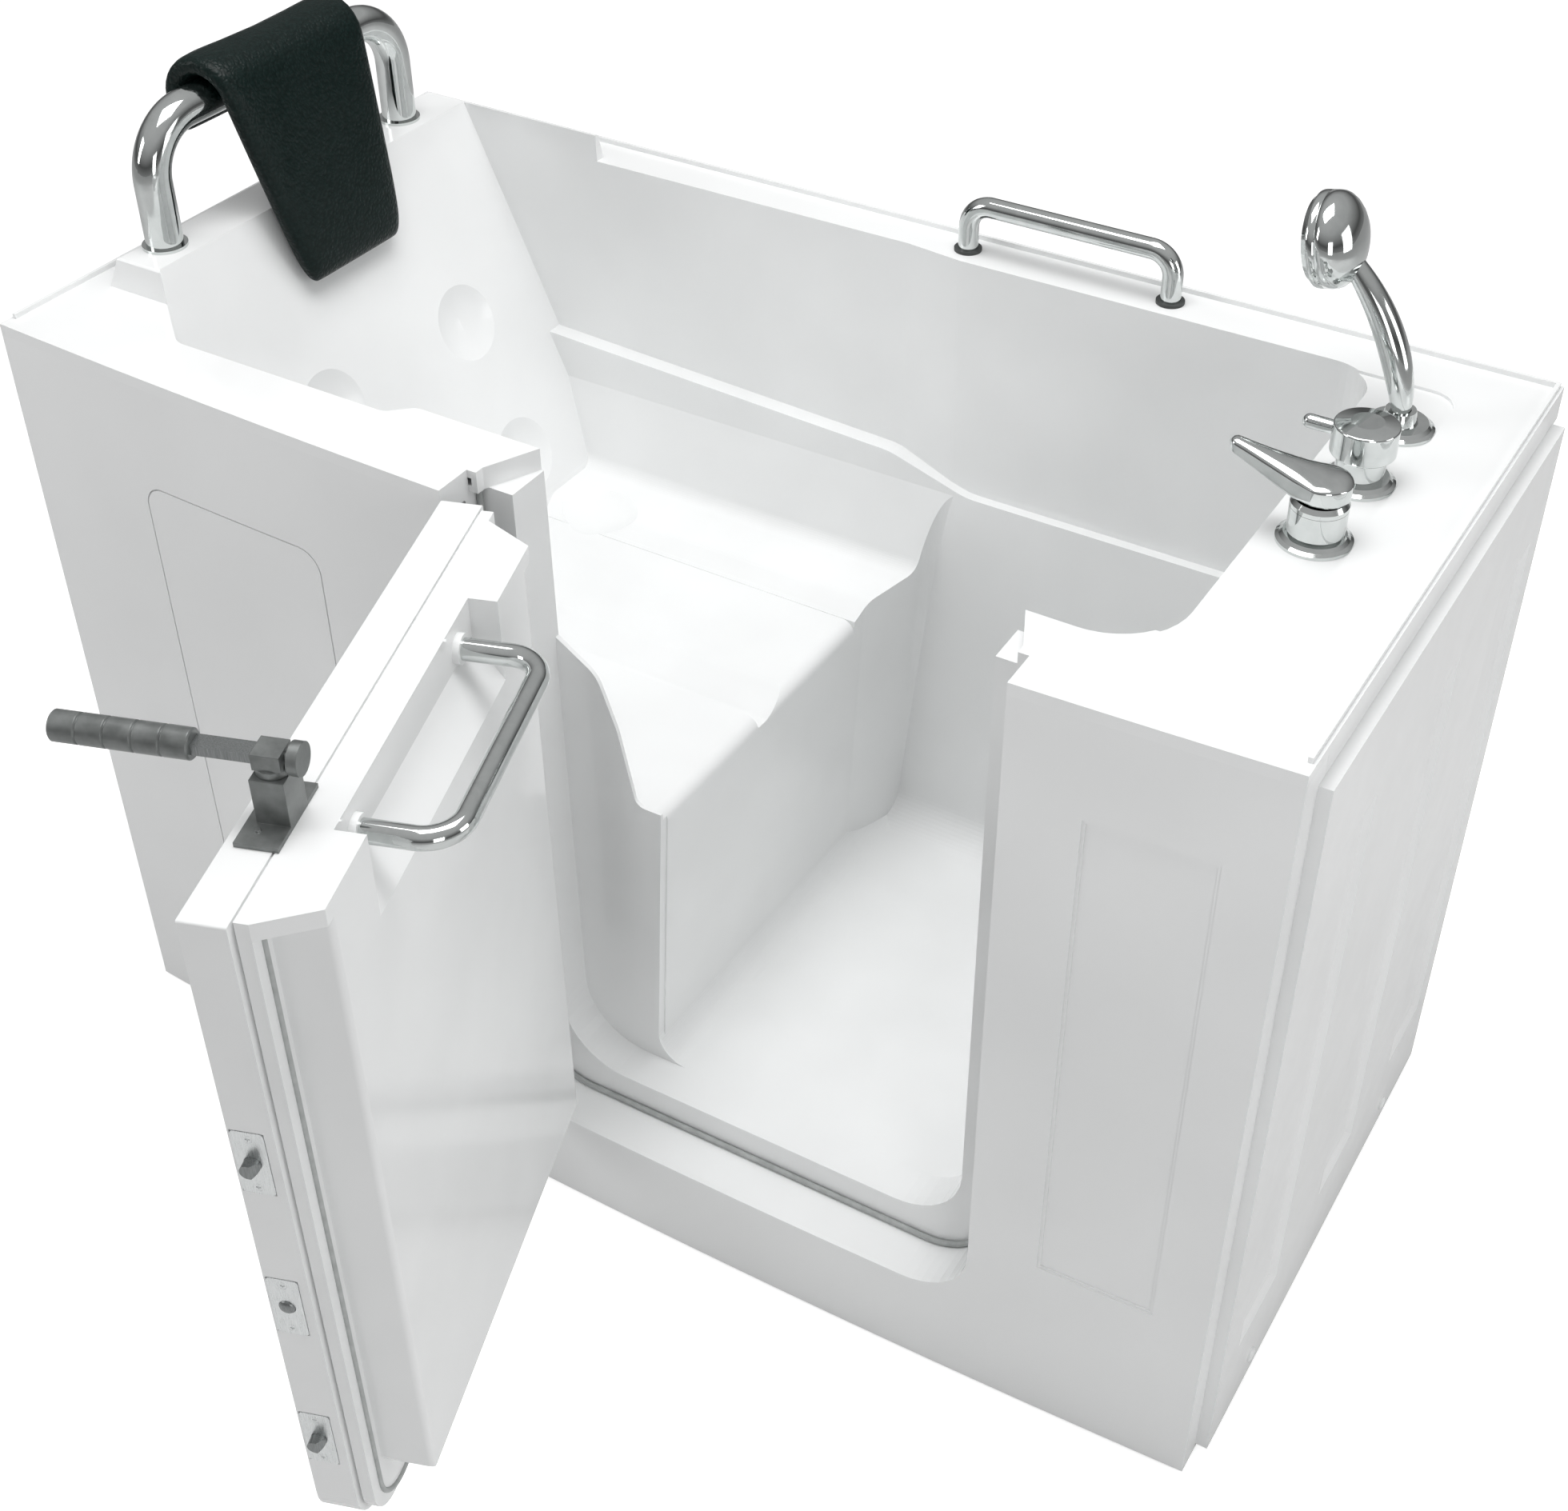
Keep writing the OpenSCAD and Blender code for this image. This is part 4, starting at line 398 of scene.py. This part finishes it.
def lever_section(x, w, foot, shoulder, crown, sides=48):
    """Section across the lever: a steep flank up to its shoulder, and a soft crown above."""
    ring = []
    for j in range(sides):
        b = 2 * math.pi * j / sides
        rise = math.sin(b)
        y = w * puff(math.cos(b), 0.45 if rise < 0 else 0.85)
        z = shoulder + (-(shoulder - foot) * abs(rise) ** 0.3 if rise < 0 else (crown - shoulder) * rise ** 0.85)
        ring.append(place(TAP_X + x, MIXER_Y + y, LEVER_Z + z))
    return ring


def lever_rings():
    """The round end over the hub, then the blade that narrows and rises to its tip."""
    rings = []
    for i in range(12):
        a = math.radians(86) * (1 - i / 12) ** 0.8
        x = HUB_R * math.sin(a)
        rings.append(lever_section(x, HUB_R * math.cos(a), max(0, x - STEM_X) * math.tan(LEVER_TILT), LEVER_SHOULDER,
            LEVER_H - (LEVER_H - LEVER_SHOULDER) * math.sin(a) ** 4))
    for i in range(33):
        t = i / 32
        end = math.sqrt(max(0.03, 1 - max(0, 12 * t - 11) ** 2))
        w = (TIP_W + (HUB_R - TIP_W) * (1 - t) ** 1.4) * end
        foot = TIP_FOOT * (max(0, t - RISE_FROM) / (1 - RISE_FROM)) ** 1.1
        crown = LEVER_H + TIP_RISE * t**1.2
        shoulder = foot + (crown - foot) * (LEVER_SHOULDER / LEVER_H * (1 - t) + t / 2)
        rings.append(lever_section(-t * LEVER_LEN, w, shoulder - (shoulder - foot) * end, shoulder,
            shoulder + (crown - shoulder) * end))
    return rings


solid("mixer_lever_skin", lever_rings(), CHROME, "mixer_handle", ["mixer_lever"])

HANDLE_Z, HANDLE_BOW, HANDLE_LEAN, HANDLE_SWEEP, HEAD_SHARE = 21.6, 235, 10, 36, 0.89
HANDLE_R, HANDLE_SWELL, HANDLE_WIDEN, SOCKET_R, SOCKET_Z = 9, 4.5, 1.1, 8.7, 13
HEAD_TILT, HEAD_UP, HEAD_FORWARD = math.radians(102), 32, 9


def handle_line(t):
    """Middle of the handle over its holder at a share t of its sweep, and its angle there."""
    a, lean = math.radians(HANDLE_LEAN + HANDLE_SWEEP * t), math.radians(HANDLE_LEAN)
    return (HANDLE_BOW * (math.cos(a) - math.cos(lean)), HANDLE_Z + HANDLE_BOW * (math.sin(a) - math.sin(lean)), a)


def handle_rings(sides=48):
    turns = [2 * math.pi * j / sides for j in range(sides)]
    rings = [[place(TAP_X + SOCKET_R * math.cos(b), SHOWER_Y + SOCKET_R * math.sin(b), TAP_Z + SOCKET_Z)
        for b in turns]]
    for i in range(49):
        x, z, a = handle_line(i / 48)
        r = HANDLE_R + HANDLE_SWELL * math.sin(math.pi * (i / 48) ** 0.8)
        rings.append([place(TAP_X + x + r * math.cos(b) * math.cos(a), SHOWER_Y + HANDLE_WIDEN * r * math.sin(b),
            TAP_Z + z + r * math.cos(b) * math.sin(a)) for b in turns])
    return rings


# Back dome, rim, the seam of the front bezel and the lip round the face, as radius and way forward
HEAD_PROFILE = [(0.4, -15), (8, -14.7), (16, -13.5), (24, -10.8), (31, -7), (37, -2.2), (41, 3), (42.6, 7), (43, 11),
    (43, 16.2), (42.3, 16.6), (42.3, 17.2), (43, 17.6), (43, 23.6), (42.4, 25), (41.2, 25.6), (40.2, 25.2), (0.4, 25)]


def head_rings(sides=72):
    x0, z0, _ = handle_line(HEAD_SHARE)
    up = (math.cos(HEAD_TILT), math.sin(HEAD_TILT))
    ahead = (-math.sin(HEAD_TILT), math.cos(HEAD_TILT))
    rings = []
    for r, way in HEAD_PROFILE:
        rings.append([])
        for j in range(sides):
            b = 2 * math.pi * j / sides
            u, f = HEAD_UP + r * math.cos(b), HEAD_FORWARD + way
            rings[-1].append(place(TAP_X + x0 + u * up[0] + f * ahead[0], SHOWER_Y + r * math.sin(b),
                TAP_Z + z0 + u * up[1] + f * ahead[1]))
    return rings


solid("hand_shower_handle", handle_rings(), CHROME, "hand_shower", ["handset_body"])
solid("hand_shower_head", head_rings(), CHROME, "hand_shower", [])


# Studio: white surroundings, a pale floor and soft lamps
def white_to_view(tree, shader):
    """The same sky for the light it gives and for metal, but plain white to the camera, also through glass."""
    path = add(tree, "ShaderNodeLightPath")
    seen = add(tree, "ShaderNodeMath", {"operation": "MAXIMUM"}, i0=path.outputs["Is Camera Ray"],
        i1=path.outputs["Is Transmission Ray"])
    plain = add(tree, "ShaderNodeBackground", Color=(1, 1, 1, 1), Strength=1.0)
    return add(tree, "ShaderNodeMixShader", i0=seen.outputs[0], i1=shader, i2=plain.outputs[0]).outputs[0]


world = bpy.data.worlds.new("studio")
bpy.context.scene.world = world
world.use_nodes = True
sky = world.node_tree
sky.nodes.clear()
upward = add(sky, "ShaderNodeSeparateXYZ", Vector=add(sky, "ShaderNodeTexCoord").outputs["Generated"])
height = remap(sky, upward.outputs["Z"], -1.0, 1.0, 0.0, 1.0)
dome = add(sky, "ShaderNodeValToRGB", Fac=height)
stops = dome.color_ramp.elements
stops[0].position, stops[0].color = 0.0, (0.55, 0.55, 0.55, 1)
stops[1].position, stops[1].color = 1.0, (1, 1, 1, 1)
for where, level in ((0.47, 0.4), (0.56, 0.16), (0.64, 0.42), (0.78, 0.85)):
    stop = stops.new(where)
    stop.color = (level, level, level, 1)
dome_light = add(sky, "ShaderNodeBackground", Color=dome.outputs["Color"], Strength=0.52)
sky.links.new(white_to_view(sky, dome_light.outputs[0]), add(sky, "ShaderNodeOutputWorld").inputs["Surface"])

floor_mesh = bpy.data.meshes.new("studio_floor")
reach = 14
floor_mesh.from_pydata([(-reach, -reach, -0.001), (reach, -reach, -0.001), (reach, reach, -0.001),
    (-reach, reach, -0.001)], [], [(0, 1, 2, 3)])
floor = bpy.data.objects.new("studio_floor", floor_mesh)
bpy.context.scene.collection.objects.link(floor)
paper, tree = new_material("white_seamless_paper")
matt = add(tree, "ShaderNodeBsdfDiffuse", Color=(0.8, 0.8, 0.8, 1))
path = add(tree, "ShaderNodeLightPath")
lit = add(tree, "ShaderNodeEmission", Color=(1, 1, 1, 1), Strength=0.62)
both = add(tree, "ShaderNodeAddShader", i0=matt.outputs[0], i1=lit.outputs[0])
shade(tree, add(tree, "ShaderNodeMixShader", i0=path.outputs["Is Camera Ray"], i1=matt.outputs[0],
    i2=both.outputs[0]).outputs[0])
floor_mesh.materials.append(paper)


def softbox(name, spot, aim, size, watts):
    """A square area lamp at spot that faces aim."""
    data = bpy.data.lights.new(name, "AREA")
    data.shape, data.size, data.size_y, data.energy = "RECTANGLE", size[0], size[1], watts
    lamp = bpy.data.objects.new(name, data)
    lamp.location = spot
    lamp.rotation_euler = (Vector(aim) - Vector(spot)).to_track_quat("-Z", "Y").to_euler()
    bpy.context.scene.collection.objects.link(lamp)


softbox("overhead", (0.1, -0.1, 3.2), (0, 0, 0.5), (1.8, 1.4), 46)
softbox("front_left", (-2.6, -2.4, 2.2), (0, 0, 0.5), (1.2, 1.6), 25)
softbox("front_right", (2.6, -2.3, 1.3), (0.4, 0, 0.5), (1.1, 1.5), 15)
softbox("right_side", (3.2, 0.6, 1.4), (0.4, 0, 0.5), (1.2, 1.6), 16)
